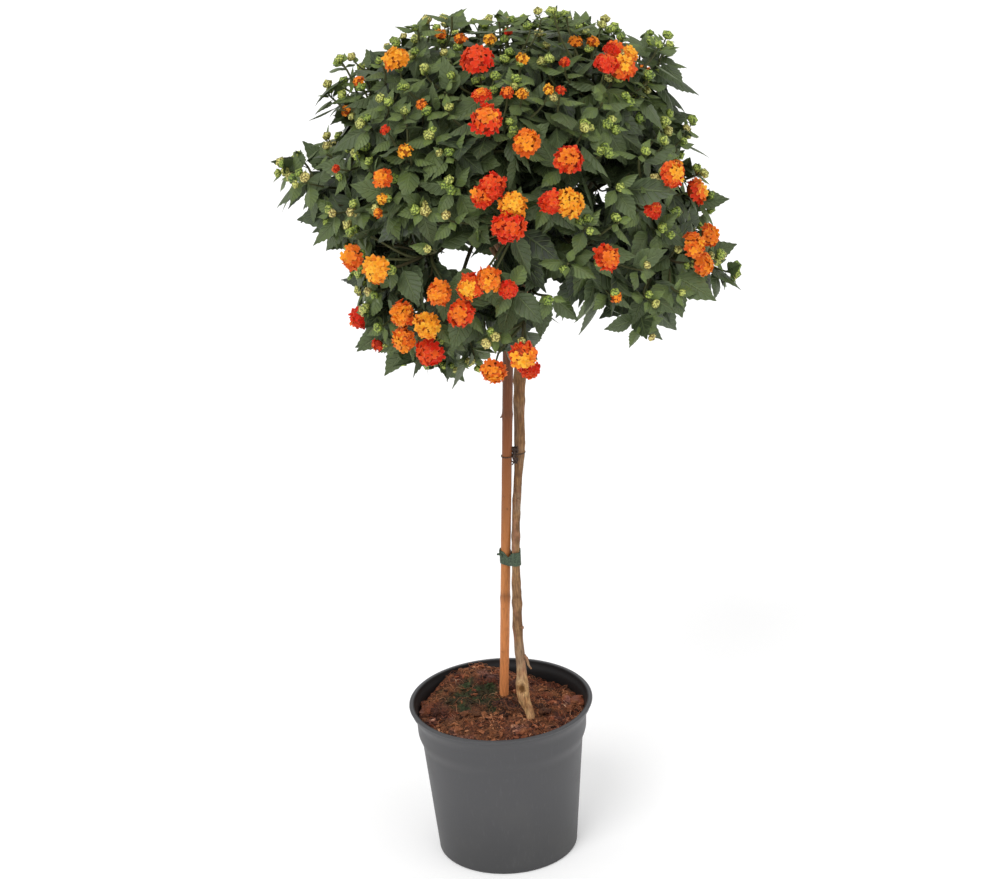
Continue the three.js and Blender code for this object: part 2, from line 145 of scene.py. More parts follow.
# Shoots: limb, azimuth, height of the tip, diameter of the flower head or 0, reach beyond the dome, kind.
SHOOTS = [
    (0, 254, 1.010, 0.034, 0, "red"), (0, 322, 0.990, 0.032, 0, "mixed"), (0, 60, 1.000, 0, 0, None),
    (0, 160, 1.000, 0, 0.004, None), (1, 262, 0.965, 0.033, 0, "flame"),
    (1, 229, 0.905, 0.020, 0, "orange"), (1, 229, 0.806, 0.030, 0, "yellow"),
    (1, 240, 0.705, 0.031, -0.012, "red"), (2, 286, 0.924, 0.030, 0, "flame"),
    (2, 268, 0.862, 0.034, 0, "red"), (2, 294, 0.818, 0.028, 0, "flame"),
    (2, 270, 0.716, 0.032, 0, "mixed"), (3, 320, 0.883, 0.029, 0, "mixed"),
    (3, 333, 0.768, 0.026, 0, "orange"), (3, 354, 0.850, 0, 0, None),
    (4, 12, 0.935, 0.018, -0.030, "red"), (4, 28, 0.835, 0, 0.006, None), (4, 8, 0.730, 0, 0.022, None),
    (5, 72, 0.930, 0, 0, None), (5, 88, 0.838, 0.030, 0, "mixed"), (5, 78, 0.735, 0, 0, None),
    (6, 128, 0.930, 0.030, 0, "flame"), (6, 142, 0.835, 0, 0.006, None),
    (6, 134, 0.730, 0.028, 0, "yellow"), (7, 195, 0.954, 0.013, 0, "orange"),
    (7, 178, 0.855, 0, 0.050, None), (7, 197, 0.700, 0.024, -0.020, "red"),
]

# More flower heads on the front: azimuth, height, diameter, kind.
FRONT_HEADS = [
    (205, 1.006, 0.028, "yellow"), (327, 1.013, 0.021, "red"), (234, 0.937, 0.016, "young"),
    (274, 0.946, 0.029, "orange"), (349, 0.832, 0.027, "mixed"), (329, 0.793, 0.027, "orange"),
    (342, 0.788, 0.024, "orange"), (315, 0.851, 0.019, "red"), (285, 0.883, 0.029, "yellow"),
    (280, 0.886, 0.023, "red"), (269, 0.882, 0.029, "yellow"), (264, 0.903, 0.028, "red"),
    (261, 0.894, 0.025, "flame"), (216, 0.806, 0.027, "orange"), (247, 0.788, 0.028, "orange"),
    (257, 0.799, 0.029, "mixed"), (262, 0.807, 0.027, "orange"), (253, 0.764, 0.029, "flame"),
    (242, 0.744, 0.029, "yellow"), (234, 0.752, 0.028, "orange"), (233, 0.721, 0.027, "orange"),
    (261, 0.687, 0.027, "orange"), (272, 0.684, 0.022, "red"), (314, 1.005, 0.024, "red"),
    (330, 1.009, 0.018, "yellow"), (208, 1.025, 0.016, "orange"), (172, 1.023, 0.014, "orange"),
    (247, 1.026, 0.015, "young"), (303, 1.028, 0.010, "red"), (279, 1.018, 0.015, "young"),
    (325, 1.022, 0.015, "orange"), (332, 1.020, 0.015, "orange"), (302, 1.014, 0.013, "red"),
    (259, 0.992, 0.018, "flame"), (269, 0.995, 0.015, "flame"), (275, 0.994, 0.014, "young"),
    (286, 0.996, 0.013, "young"), (291, 0.995, 0.011, "red"), (235, 0.984, 0.013, "orange"),
    (224, 0.956, 0.011, "red"), (193, 0.986, 0.013, "orange"), (204, 0.901, 0.010, "red"),
    (229, 0.886, 0.012, "young"), (228, 0.871, 0.011, "orange"), (339, 0.876, 0.012, "orange"),
    (298, 0.768, 0.013, "orange"), (267, 0.792, 0.019, "red"), (212, 0.685, 0.016, "red"),
]

# Leafy tips that shape the outline: azimuth, height, reach beyond the dome.
OUTER_TIPS = [
    (184, 1.019, 0.028), (178, 1.025, 0.028), (172, 1.027, 0.024), (196, 1.002, 0.010),
    (345, 1.026, 0.024), (300, 1.028, 0.018), (20, 1.022, 0.010), (90, 1.026, 0.010),
    (356, 1.001, 0.008), (345, 1.004, 0.014), (5, 0.986, 0.004), (181, 0.984, 0.026),
    (181, 0.961, 0.010), (358, 0.896, 0.010), (0, 0.806, 0.012), (358, 0.776, 0.008), (2, 0.712, 0.014),
    (203, 0.668, 0.004), (214, 0.654, 0.002), (226, 0.650, 0), (238, 0.656, -0.002),
    (250, 0.662, -0.006), (310, 0.708, 0),
]

# Small leafy tips between the others along the top: azimuth, height, reach beyond the dome.
SPRIGS = [
    (294, 1.024, 0.032), (303, 1.024, 0.038), (315, 1.024, 0.040), (327, 1.024, 0.034),
    (168, 1.021, 0.020), (162, 1.024, 0.016), (171, 1.009, 0.012), (174, 0.988, 0.014),
    (339, 1.015, 0.018), (3, 1.021, 0.008), (354, 1.009, 0.010), (3, 1.000, 0.010),
]
SPRIG_LEAVES = 0.66  # how much smaller their leaves are

# The foliage ends higher in front on the right: azimuth from, azimuth to, lowest height of a shoot's tip.
BOTTOM_EDGE = [
    (190, 235, 0.650),
    (235, 266, 0.662),
    (266, 277, 0.704),
    (277, 290, 0.768),
    (290, 300, 0.744),
    (300, 325, 0.722),
    (325, 350, 0.743),
]
BOTTOM = 0.725
LEAVES_BELOW = 0.048  # how far the leaves hang below the lowest tips
BACK = (35, 150)  # azimuths of the back, where more heads flower than the listed ones
BACK_BLOOMS = 0.30  # the share of the tips there that flower
BACK_DIAMETERS = (0.022, 0.032)
BACK_KINDS = ("red", "flame", "orange", "yellow", "mixed")
BLOOM_LIMIT = 0.93  # no more heads than the listed ones flower above this height
GOLDEN_ANGLE = 137.508
TIP_SPAN = (0.678, 1.029)  # the heights between which tips are tried
TRIED_TIPS = 700
TIP_SPACING = 0.034
DENSE_ABOVE = 0.965  # height above which the tips stand closer
TOP_SPACING = 0.74  # how much closer
TIP_INSET = 0.022
TWIG_ROOTS = (0.15, 0.3, 0.45, 0.6, 0.75)  # where on a shoot twigs may start, by the share of its length

# Stems: the radius of the foot, how much thinner the tip is, and how woody they look.
STEMS = {
    "shoot": (0.0024, 0.0009, 0.75),
    "twig": (0.0019, 0.0008, 0.45),
    "inner twig": (0.0018, 0.0008, 0.7),
    "sprig": (0.0016, 0.0007, 0.45),
}

# How many bud clusters a twig may have, drawn by lot.
BUD_COUNTS = {"flowering": (0, 1, 1), "on top": (0, 1, 1, 2, 2), "elsewhere": (1, 1, 2, 3, 3)}
BUD_SIZES = (0.0052, 0.0076)

# Layers of leafy twigs inside the dome: how many are tried, how far apart, how deep, and the lowest height.
INNER_LAYERS = [
    (300, 0.044, 0.058, 0.700),
    (160, 0.052, 0.100, 0.700),
]

HEAD_SIZE = 0.032  # the diameter that the flower head's own measures are given for
HEAD_STALK = 0.015
HEAD_LIFT = 0.0026  # how far the head of a shoot starts beyond the tip of its stem
BLOOM_ROOM = 0.004  # the room between a flower head and the middle of a leaf
NEAR_BLOOM = 0.16  # no leaf reaches a flower head from farther than this

# Gaps in the foliage through which the light shows: middle, half width, half height.
LIGHT_GAPS = [
    (Vector((-0.014, -0.230, 0.833)), 0.038, 0.020),
    (Vector((0.079, -0.225, 0.794)), 0.012, 0.013),
    (Vector((0.142, -0.225, 0.904)), 0.012, 0.013),
]

CAMERA = {"place": Vector((0, -3.2, 1.85)), "yaw": 0.00507, "pitch": 0.39152, "roll": 0.054943}
FOCAL_PIXELS = 2992.73
IMAGE_WIDTH = 1000
SENSOR = 36.0


# ---- 2. Ways of shaping --------------------------------------------------------------------------------

def choose(*objects):
    """Selects these objects only."""
    bpy.ops.object.select_all(action="DESELECT")
    for obj in objects:
        obj.select_set(True)
    bpy.context.view_layer.objects.active = objects[0]


def start(kind, name, **sizes):
    """Adds a primitive and puts its place into its mesh."""
    bpy.ops.object.select_all(action="DESELECT")
    getattr(bpy.ops.mesh, f"primitive_{kind}_add")(**sizes)
    bpy.ops.object.transform_apply()
    obj = bpy.context.object
    obj.name = name
    return obj


@contextlib.contextmanager
def editing(obj, kind="FACE"):
    """Edit mode with everything selected."""
    choose(obj)
    bpy.ops.object.mode_set(mode="EDIT")
    bpy.ops.mesh.select_mode(type=kind)
    bpy.ops.mesh.select_all(action="SELECT")
    yield
    bpy.ops.object.mode_set(mode="OBJECT")


def pick(obj, wanted):
    """In edit mode, selects the faces or the points whose place passes the test."""
    shape = bmesh.from_edit_mesh(obj.data)
    faces = bpy.context.tool_settings.mesh_select_mode[2]
    bpy.ops.mesh.select_all(action="DESELECT")
    for item in shape.faces if faces else shape.verts:
        item.select_set(bool(wanted(item.calc_center_median() if faces else item.co)))
    bmesh.update_edit_mesh(obj.data)


def modify(obj, kind, **settings):
    """Applies one modifier."""
    choose(obj)
    modifier = obj.modifiers.new(kind.lower(), kind)
    for key, value in settings.items():
        setattr(modifier, key, value)
    bpy.ops.object.modifier_apply(modifier=modifier.name)


def smooth(obj, degrees=40):
    choose(obj)
    bpy.ops.object.shade_smooth_by_angle(angle=math.radians(degrees))


def join(parts, name):
    """Makes several objects one piece."""
    choose(*parts)
    bpy.ops.object.join()
    parts[0].name = parts[0].data.name = name
    return parts[0]


def ringed(name, rings, sides):
    """A closed shell that is extruded from ring to ring, each given as its centre and its radius."""
    centre, radius = rings[0]
    shell = start("circle", name, vertices=sides, radius=radius, fill_type="NGON", location=centre)
    with editing(shell):
        for (last, before), (centre, radius) in zip(rings, rings[1:]):
            bpy.ops.mesh.extrude_region_move(TRANSFORM_OT_translate={"value": centre - last})
            ratio = radius / before
            bpy.ops.transform.resize(value=(ratio, ratio, 1), center_override=centre)
        bpy.ops.mesh.select_all(action="SELECT")
        bpy.ops.mesh.normals_make_consistent(inside=False)
    return shell


def stick_master(name, steps, sides):
    """A straight stick of unit length and radius along +Z, to be laid along a path."""
    return ringed(name, [(UP * (i / steps), 1) for i in range(steps + 1)], sides)


def roughen(obj, push):
    """Moves each point of a piece by what the function gives for its place."""
    for point in obj.data.vertices:
        point.co += push(point.co)


def set_marks(mesh, marks):
    """Gives every point of a mesh the same named numbers."""
    for mark, value in marks.items():
        layer = mesh.attributes.get(mark) or mesh.attributes.new(mark, "FLOAT", "POINT")
        layer.data.foreach_set("value", [value] * len(mesh.vertices))


def on_stage(name, mesh):
    """A new object for a mesh."""
    obj = bpy.data.objects.new(name, mesh)
    bpy.context.scene.collection.objects.link(obj)
    return obj


def copy_of(master, place, **marks):
    """A copy with a mesh of its own, put in place, with its own numbers in the master's marks."""
    mesh = master.data.copy()
    mesh.transform(place)
    set_marks(mesh, marks)
    return on_stage(master.name, mesh)


class Path:
    """A line through points, read by the share of its length."""

    def __init__(self, points):
        self.points = [Vector(point) for point in points]
        self.marks = [0.0]
        for a, b in zip(self.points, self.points[1:]):
            self.marks.append(self.marks[-1] + (b - a).length)
        self.length = self.marks[-1]

    def at(self, share):
        mark = min(max(share, 0), 1) * self.length
        i = min(max(bisect.bisect_left(self.marks, mark), 1), len(self.points) - 1)
        part = (mark - self.marks[i - 1]) / max(self.marks[i] - self.marks[i - 1], 1e-9)
        return self.points[i - 1].lerp(self.points[i], part)

    def way(self, share):
        return (self.at(share + 0.03) - self.at(share - 0.03)).normalized()


def arched(start_point, first, second, end):
    """A path along one Bezier curve."""
    return Path(geometry.interpolate_bezier(start_point, first, second, end, 17))


def flowing(points, steps=8):
    """A smooth path through all the points."""
    points = [Vector(point) for point in points]
    ends = [2 * points[0] - points[1], *points, 2 * points[-1] - points[-2]]
    line = []
    for a, b, c, d in zip(ends, ends[1:], ends[2:], ends[3:]):
        span = (c - b).length
        out = (c - a) * (span / (c - a).length / 3)
        back = (d - b) * (span / (d - b).length / 3)
        line += geometry.interpolate_bezier(b, b + out, c - back, c, steps + 1)[:-1]
    return Path([*line, points[-1]])


def along(master, path, radius_at, **marks):
    """A copy of a straight stick of unit length, its rings moved onto a path."""
    mesh = master.data.copy()
    across = (path.points[-1] - path.points[0]).orthogonal()
    rings = {}
    for point in mesh.vertices:
        share = round(point.co.z, 4)
        if share not in rings:
            ahead = path.way(share)
            side = (across - ahead * across.dot(ahead)).normalized()
            rings[share] = (path.at(share), side, ahead.cross(side), radius_at(share))
        centre, side, other, radius = rings[share]
        point.co = centre + (side * point.co.x + other * point.co.y) * radius
    set_marks(mesh, marks)
    return on_stage(master.name, mesh)


def taper(foot, loss):
    """A stick's radius by the share of its length: how thick its foot is, and how much thinner its tip."""
    return lambda share: foot - loss * share


def strand(master, root, bends, radius_at, **marks):
    """A copy of a straight stick, its rings moved onto a smooth path whose points are given from a root."""
    return along(master, flowing([root + Vector(bend) for bend in bends]), radius_at, **marks)


def aimed(point, ahead, face, size):
    """Where a thing made along +Z with its face to -Y goes, with its way, the way it faces and its size."""
    side = ahead.cross(face).normalized()
    front = side.cross(ahead).normalized()
    turn = Matrix((side, -front, ahead)).transposed()
    return Matrix.Translation(point) @ turn.to_4x4() @ Matrix.Scale(size, 4)


def bell(value, middle, width):
    return math.exp(-(((value - middle) / width) ** 2))


# ---- 3. Finishes ---------------------------------------------------------------------------------------

def rgb(code):
    """A colour from its six hex digits, as linear red, green and blue."""
    parts = [int(code[i:i + 2], 16) / 255 for i in (0, 2, 4)]
    return (*[p / 12.92 if p <= 0.04045 else ((p + 0.055) / 1.055) ** 2.4 for p in parts], 1)


class Value:
    """One output of a node. Arithmetic on it adds Math nodes."""

    def __init__(self, finish, socket):
        self.finish = finish
        self.socket = socket

    def math(self, operation, *operands):
        return self.finish.add("ShaderNodeMath", {"operation": operation}, dict(enumerate(operands)))

    def __add__(self, other):
        return self.math("ADD", self, other)

    def __sub__(self, other):
        return self.math("SUBTRACT", self, other)

    def __rsub__(self, other):
        return self.math("SUBTRACT", other, self)

    def __mul__(self, other):
        return self.math("MULTIPLY", self, other)

    def __pow__(self, other):
        return self.math("POWER", self, other)

    def __abs__(self):
        return self.math("ABSOLUTE", self)

    __radd__ = __add__
    __rmul__ = __mul__

    def fraction(self):
        return self.math("FRACT", self)

    def most(self, other):
        return self.math("MAXIMUM", self, other)

    def between(self, low, high):
        """0 below low, 1 above high, and smooth between them; with low above high it runs the other way."""
        if low > high:
            return 1 - self.between(high, low)
        inputs = {"Value": self, "From Min": low, "From Max": high}
        return self.finish.add("ShaderNodeMapRange", {"interpolation_type": "SMOOTHSTEP"}, inputs)


class Finish:
    """A material and the shader that its patterns feed."""

    def __init__(self, name, **settings):
        self.material = bpy.data.materials.new(name)
        self.material.use_nodes = True
        self.tree = self.material.node_tree
        self.shader = self.tree.nodes["Principled BSDF"]
        self.set(**settings)

    def plug(self, socket, value):
        """Feeds a socket with a value, a number, or a colour given by its six hex digits."""
        if isinstance(value, Value):
            self.tree.links.new(value.socket, socket)
        else:
            socket.default_value = rgb(value) if isinstance(value, str) else value

    def set(self, **settings):
        """Sets the shader's own sockets, with _ for each space in their names."""
        for name, value in settings.items():
            self.plug(self.shader.inputs[name.replace("_", " ")], value)

    def add(self, kind, settings=None, inputs=None, output=0):
        """Adds a node, sets it up, feeds it, and gives one of its outputs."""
        node = self.tree.nodes.new(kind)
        settings = dict(settings or {})
        stops = settings.pop("stops", ())
        for key, value in settings.items():
            setattr(node, key, value)
        for i, (place, colour) in enumerate(stops):
            stop = node.color_ramp.elements[i] if i < 2 else node.color_ramp.elements.new(place)
            stop.position = place
            stop.color = rgb(colour)
        for key, value in (inputs or {}).items():
            self.plug(node.inputs[key], value)
        return Value(self, node.outputs[output])

    def here(self, scale=(1, 1, 1)):
        """The place on the object, in metres, stretched by scale."""
        place = self.add("ShaderNodeTexCoord", output="Object")
        return self.add("ShaderNodeVectorMath", {"operation": "MULTIPLY"}, {0: place, 1: scale})

    def part(self, vector, axis):
        return self.add("ShaderNodeSeparateXYZ", None, {0: vector}, output="XYZ".index(axis))

    def mark(self, name):
        return self.add("ShaderNodeAttribute", {"attribute_name": name}, output="Fac")

    def cloud(self, vector, scale, detail=3):
        inputs = {"Vector": vector, "Scale": scale, "Detail": detail, "Roughness": 0.55}
        return self.add("ShaderNodeTexNoise", None, inputs, output="Fac")

    def blend(self, share, first, second):
        inputs = {0: share, 6: first, 7: second}
        return self.add("ShaderNodeMix", {"data_type": "RGBA"}, inputs, output=2)

    def coats(self, base, *layers):
        """Lays colours over a base, each with how much of it shows."""
        for share, colour in layers:
            base = self.blend(share, base, colour)
        return base

    def ramp(self, share, *stops):
        """A colour by a share, from stops that are each a place and a colour."""
        return self.add("ShaderNodeValToRGB", {"stops": stops}, {0: share})

    def bump(self, height, distance, strength=1):
        inputs = {"Height": height, "Distance": distance, "Strength": strength}
        self.set(Normal=self.add("ShaderNodeBump", None, inputs))

    def on(self, obj):
        obj.data.materials.clear()
        obj.data.materials.append(self.material)
        return obj


def pot_finish():
    """Dark grey moulded plastic, satin, with fine scuffs and a little dust, and painted shade: darker towards
    the foot and near black inside the pot and on the lip's inner part.
    """
    finish = Finish("pot_plastic", Roughness=0.5, Specular_IOR_Level=0.4)
    here = finish.here()
    scuffs = finish.cloud(finish.here((1, 1, 0.15)), 420, 4).between(0.55, 0.75)
    dust = finish.cloud(here, 18, 5).between(0.45, 0.8)
    rings = finish.cloud(finish.here((0.05, 0.05, 1)), 900, 2)
    height = finish.part(here, "Z")
    # Painted shade: the plastic is darker towards the foot, below 0.12 m.
    base = finish.blend(height.between(0.12, 0.0), "454547", "3a3a3b")
    # Painted shade inside the pot: near black on the inner wall above about 0.16 m and on the inner part of
    # the lip.
    away = finish.part(here, "X") ** 2 + finish.part(here, "Y") ** 2
    wall = 0.01016 + height.between(0.176, 0.190) * 0.00104  # its radius squared, wider towards the lip
    inside = (wall - away).between(-0.00003, 0.00005) * height.between(0.158, 0.164)
    finish.set(Base_Color=finish.coats(
        base, (dust * 0.25, "565552"), (scuffs * 0.2, "5f5f61"), (inside * 0.95, "0d0d0e")))
    finish.set(Roughness=0.48 + dust * 0.12 + scuffs * 0.1)
    finish.bump(rings * 0.6 + finish.cloud(here, 900, 2) * 0.4, 0.00012, 0.6)
    return finish


def mix_finish():
    """Damp brown bark and coir, each chip in its own shade, greener where moss grows."""
    finish = Finish("potting_mix", Roughness=0.9, Specular_IOR_Level=0.25)
    here = finish.here()
    shade = finish.mark("shade")
    grain = finish.cloud(here, 380, 4)
    tone = shade * 0.95 + grain * 0.7 - 0.34
    brown = finish.ramp(
        tone, (0.0, "1a0f0c"), (0.28, "4a2a20"), (0.55, "86492f"), (0.8, "b06a4a"), (1.0, "e2b896"))
    warmth = finish.cloud(here, 32, 2).between(0.4, 0.62)
    plum = finish.cloud(finish.here((1, 1, 0.2)), 26, 2).between(0.56, 0.7)
    # The mix is darker in a round patch near the feet of the cane and the trunk, broken up by the grain.
    away = (finish.part(here, "X") - DARK_PATCH["x"]) ** 2 + (finish.part(here, "Y") - DARK_PATCH["y"]) ** 2
    dark_patch = away.between(DARK_PATCH["edge"] ** 2, DARK_PATCH["core"] ** 2) * grain.between(0.65, 0.35)
    brown = finish.coats(
        brown,
        (warmth * 0.5, finish.ramp(tone, (0.1, "30190c"), (0.9, "c88a5a"))),
        (plum * 0.35, finish.ramp(tone, (0.1, "24151a"), (0.9, "b88f8c"))),
        (dark_patch * 0.85, "1c1110"),
    )
    moss = finish.mark("moss")
    fleck = (grain + shade * 0.5).between(0.35, 0.95)
    heart = finish.cloud(here, 60, 2).between(0.47, 0.62)
    dark = finish.blend(heart, "120f0b", "13170d")
    light = finish.blend(heart, "4a3f2a", "414c2e")
    green = finish.blend(fleck, dark, light)
    finish.set(Base_Color=finish.blend(moss, brown, green))
    finish.bump(grain, 0.0012)
    return finish


def bark_finish():
    """Beige-brown bark with faint lengthwise cracks, paler and yellower at the foot, and lightened from about
    0.42 m up with painted light against the crown's shadow.
    """
    finish = Finish("bark", Roughness=0.85, Specular_IOR_Level=0.25)
    here = finish.here()
    height = finish.part(here, "Z")
    streaks = finish.cloud(finish.here((1, 1, 0.10)), 700, 4)
    patches = finish.cloud(here, 90, 4)
    top = finish.blend(patches.between(0.3, 0.7), "6e4f34", "9c7852")
    foot = finish.blend(patches.between(0.3, 0.7), "c08b5b", "ebc086")
    grey = finish.cloud(finish.here((1, 1, 0.5)), 45, 2).between(0.48, 0.62)
    rosy = finish.cloud(finish.here((1, 1, 0.4)), 130, 2).between(0.5, 0.7)
    finish.set(Base_Color=finish.coats(
        finish.blend(height.between(0.27, 0.20), top, foot),
        # Painted light: a lighter coat from 0.42 m up, where the crown's shadow falls on the trunk.
        (height.between(0.42, 0.62) * 0.3, "b98a58"),
        (grey * 0.4, "9d8a74"),
        (streaks.between(0.60, 0.40) * 0.55, "52382a"),
        (rosy * 0.35, "a8735c"),
        (finish.mark("scar"), finish.blend(streaks, "3a220e", "7a5226")),
    ))
    finish.bump(streaks + patches * 0.5, 0.0010)
    return finish


def cane_finish():
    """Dry bamboo, orange at the foot and darker towards the top, partly its own colour and partly painted
    shade under the crown, faintly streaked, with darker joints.
    """
    finish = Finish("bamboo", Roughness=0.45, Specular_IOR_Level=0.25)
    here = finish.here()
    height = finish.part(here, "Z")
    # Darker towards the top: partly the bamboo's own colour, partly painted shade under the crown.
    base = finish.ramp(
        height.between(0.17, 0.68),
        (0.0, "e08f57"), (0.25, "bf7b44"), (0.55, "965d31"), (0.8, "7c4521"), (1.0, "542c14"),
    )
    streaks = finish.cloud(finish.here((1, 1, 0.03)), 650)
    spots = finish.cloud(finish.here((1, 1, 0.5)), 160).between(0.66, 0.76)
    finish.set(Base_Color=finish.coats(
        base,
        (streaks.between(0.4, 0.7) * 0.4, "8a5634"),
        (spots * 0.6, "5c3a22"),
        (finish.mark("joint") * 0.75, "5a3822"),
    ))
    finish.set(Roughness=0.38 + streaks * 0.2)
    finish.bump(streaks, 0.0003)
    return finish


def plain_finish(name, dark, light, roughness):
    """A small dull part in two close shades."""
    finish = Finish(name, Roughness=roughness, Specular_IOR_Level=0.35)
    grain = finish.cloud(finish.here(), 600)
    finish.set(Base_Color=finish.blend(grain.between(0.35, 0.65), dark, light))
    finish.bump(grain, 0.0003)
    return finish


def leaf_finish():
    """A rough leaf: sunken veins, paler below, yellower while young, and bluer or browner as it ages."""
    finish = Finish("leaf", Roughness=0.45, Specular_IOR_Level=0.5)
    uv = finish.add("ShaderNodeUVMap", {"uv_map": "UVMap"})
    across = abs(finish.part(uv, "X") - 0.5) * 2
    ahead = finish.part(uv, "Y")
    rib = across.between(0.11, 0.02)
    slanting = ((ahead - across * 0.22) * 7).fraction()  # seven side veins on each half
    side_veins = abs(slanting - 0.5).between(0.15, 0.03) * across.between(1.0, 0.8)
    veins = rib.most(side_veins * 0.8)
    here = finish.here()
    mottle = finish.cloud(here, 90)
    under = finish.mark("under")
    finish.set(Base_Color=finish.coats(
        finish.ramp(
            finish.mark("shade"),
            (0.0, "232c1b"), (0.3, "2a3527"), (0.6, "2b3823"), (0.85, "364426"), (1.0, "49562c"),
        ),
        (finish.mark("youth"), "70843a"),
        (mottle.between(0.35, 0.7) * 0.3, "3f4a35"),
        (veins * 0.5, "6c7b4c"),
        # A painted highlight along the leaf's edge.
        (across.between(0.88, 1.0) * 0.35, "6e7e4a"),
        (under * 0.7, "586844"),
    ))
    finish.set(Roughness=0.40 + mottle * 0.15 + under * 0.2)
    finish.bump(finish.cloud(here, 700, 2) * 0.35 - veins, 0.0011, 0.9)
    return finish


def twig_finish():
    """Green young wood that turns brown with age."""
    finish = Finish("twig", Roughness=0.7, Specular_IOR_Level=0.3)
    age = finish.mark("age")
    streaks = finish.cloud(finish.here((1, 1, 0.4)), 500)
    green = finish.blend(streaks, "3f4a28", "66703e")
    brown = finish.blend(streaks, "30251a", "4f3f2c")
    finish.set(Base_Color=finish.blend(age, green, brown))
    finish.bump(streaks, 0.0004)
    return finish


def bud_finish():
    """Tight buds, green to cream, with painted shade in the gaps round each bud and in the hollows between
    the ball's bumps.
    """
    finish = Finish("bud", Roughness=0.5, Specular_IOR_Level=0.35)
    tip = finish.mark("tip")
    shade = finish.mark("shade")
    light = finish.ramp(shade, (0.0, "8ea844"), (0.5, "c6d864"), (1.0, "f4e690"))
    # Painted shade in the gaps between the buds and in the hollows between the ball's bumps.
    gap_shade = finish.ramp(shade, (0.0, "3a4a1e"), (0.6, "5a6a2c"), (1.0, "7e6a34"))
    inputs = {"Vector": finish.here(), "Scale": 480}
    single = finish.add("ShaderNodeTexVoronoi", None, inputs, output="Distance").between(0.66, 0.46)
    finish.set(Base_Color=finish.blend(single * (tip * 0.35 + 0.65), gap_shade, light))
    finish.bump(single, 0.0006)
    return finish


def petal_finish():
    """Petals that open yellow and turn orange and then red, with a darker throat, painted highlights on the
    lobes' outer parts and painted shade on the core.
    """
    finish = Finish("petal", Roughness=0.55, Specular_IOR_Level=0.15)
    ripe = finish.mark("ripe")
    heart = finish.mark("heart")
    spread = finish.cloud(finish.here(), 300, 2)
    limb = finish.ramp(
        ripe + (spread - 0.5) * 0.25,
        (0.0, "efb232"), (0.25, "ec941e"), (0.5, "e4701c"), (0.75, "da4612"), (1.0, "d4220e"),
    )
    throat = finish.ramp(ripe, (0.0, "e8961c"), (0.5, "d86818"), (1.0, "c42a12"))
    # Painted shade: the dark colour of the core that shows in the gaps between the florets.
    between = finish.ramp(ripe, (0.0, "96540f"), (1.0, "a0200e"))
    finish.set(Base_Color=finish.coats(
        limb,
        # Painted highlight on the outer part of each lobe.
        (heart.between(0.22, 0.0) * 0.5, finish.blend(0.4, limb, "ffb088")),
        (heart.between(0.80, 1.0) * 0.75, throat),
        (heart.between(1.3, 2.0), between),
    ))
    finish.bump(spread, 0.0004)
    return finish


FINISHES = {
    "pot": pot_finish(),
    "mix": mix_finish(),
    "bark": bark_finish(),
    "cane": cane_finish(),
    "band": plain_finish("band", "2b3a2c", "4a5a44", 0.55),
    "wire": plain_finish("wire", "241a15", "4e3a2e", 0.6),
    "leaf": leaf_finish(),
    "twig": twig_finish(),
    "bud": bud_finish(),
    "petal": petal_finish(),
}


def finished(piece, finish, node):
    """Gives a piece its finish, and puts it in its node's place."""
    if finish:
        FINISHES[finish].on(piece)
    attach(piece, "root")
    if node:
        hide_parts(node)


# ---- 4. Pot, stem and ties -----------------------------------------------------------------------------

def turned(name, profile, sides):
    """A closed shell turned about the pot's axis from its radii and heights."""
    return ringed(name, [(UP * height, radius) for radius, height in profile], sides)


def arc(middle_radius, middle_height, size, first, last, steps):
    """Points of a profile along part of a circle, from one angle to another in degrees."""
    angles = [math.radians(first + (last - first) * i / steps) for i in range(steps + 1)]
    return [(middle_radius + size * math.cos(a), middle_height + size * math.sin(a)) for a in angles]


def eased(first, last, steps):
    """Points of a profile that swing from one radius and height to another."""
    shares = [i / steps for i in range(steps + 1)]
    rises = [share * share * (3 - 2 * share) for share in shares]
    return [(first[0] + (last[0] - first[0]) * rise, first[1] + (last[1] - first[1]) * share)
            for share, rise in zip(shares, rises)]


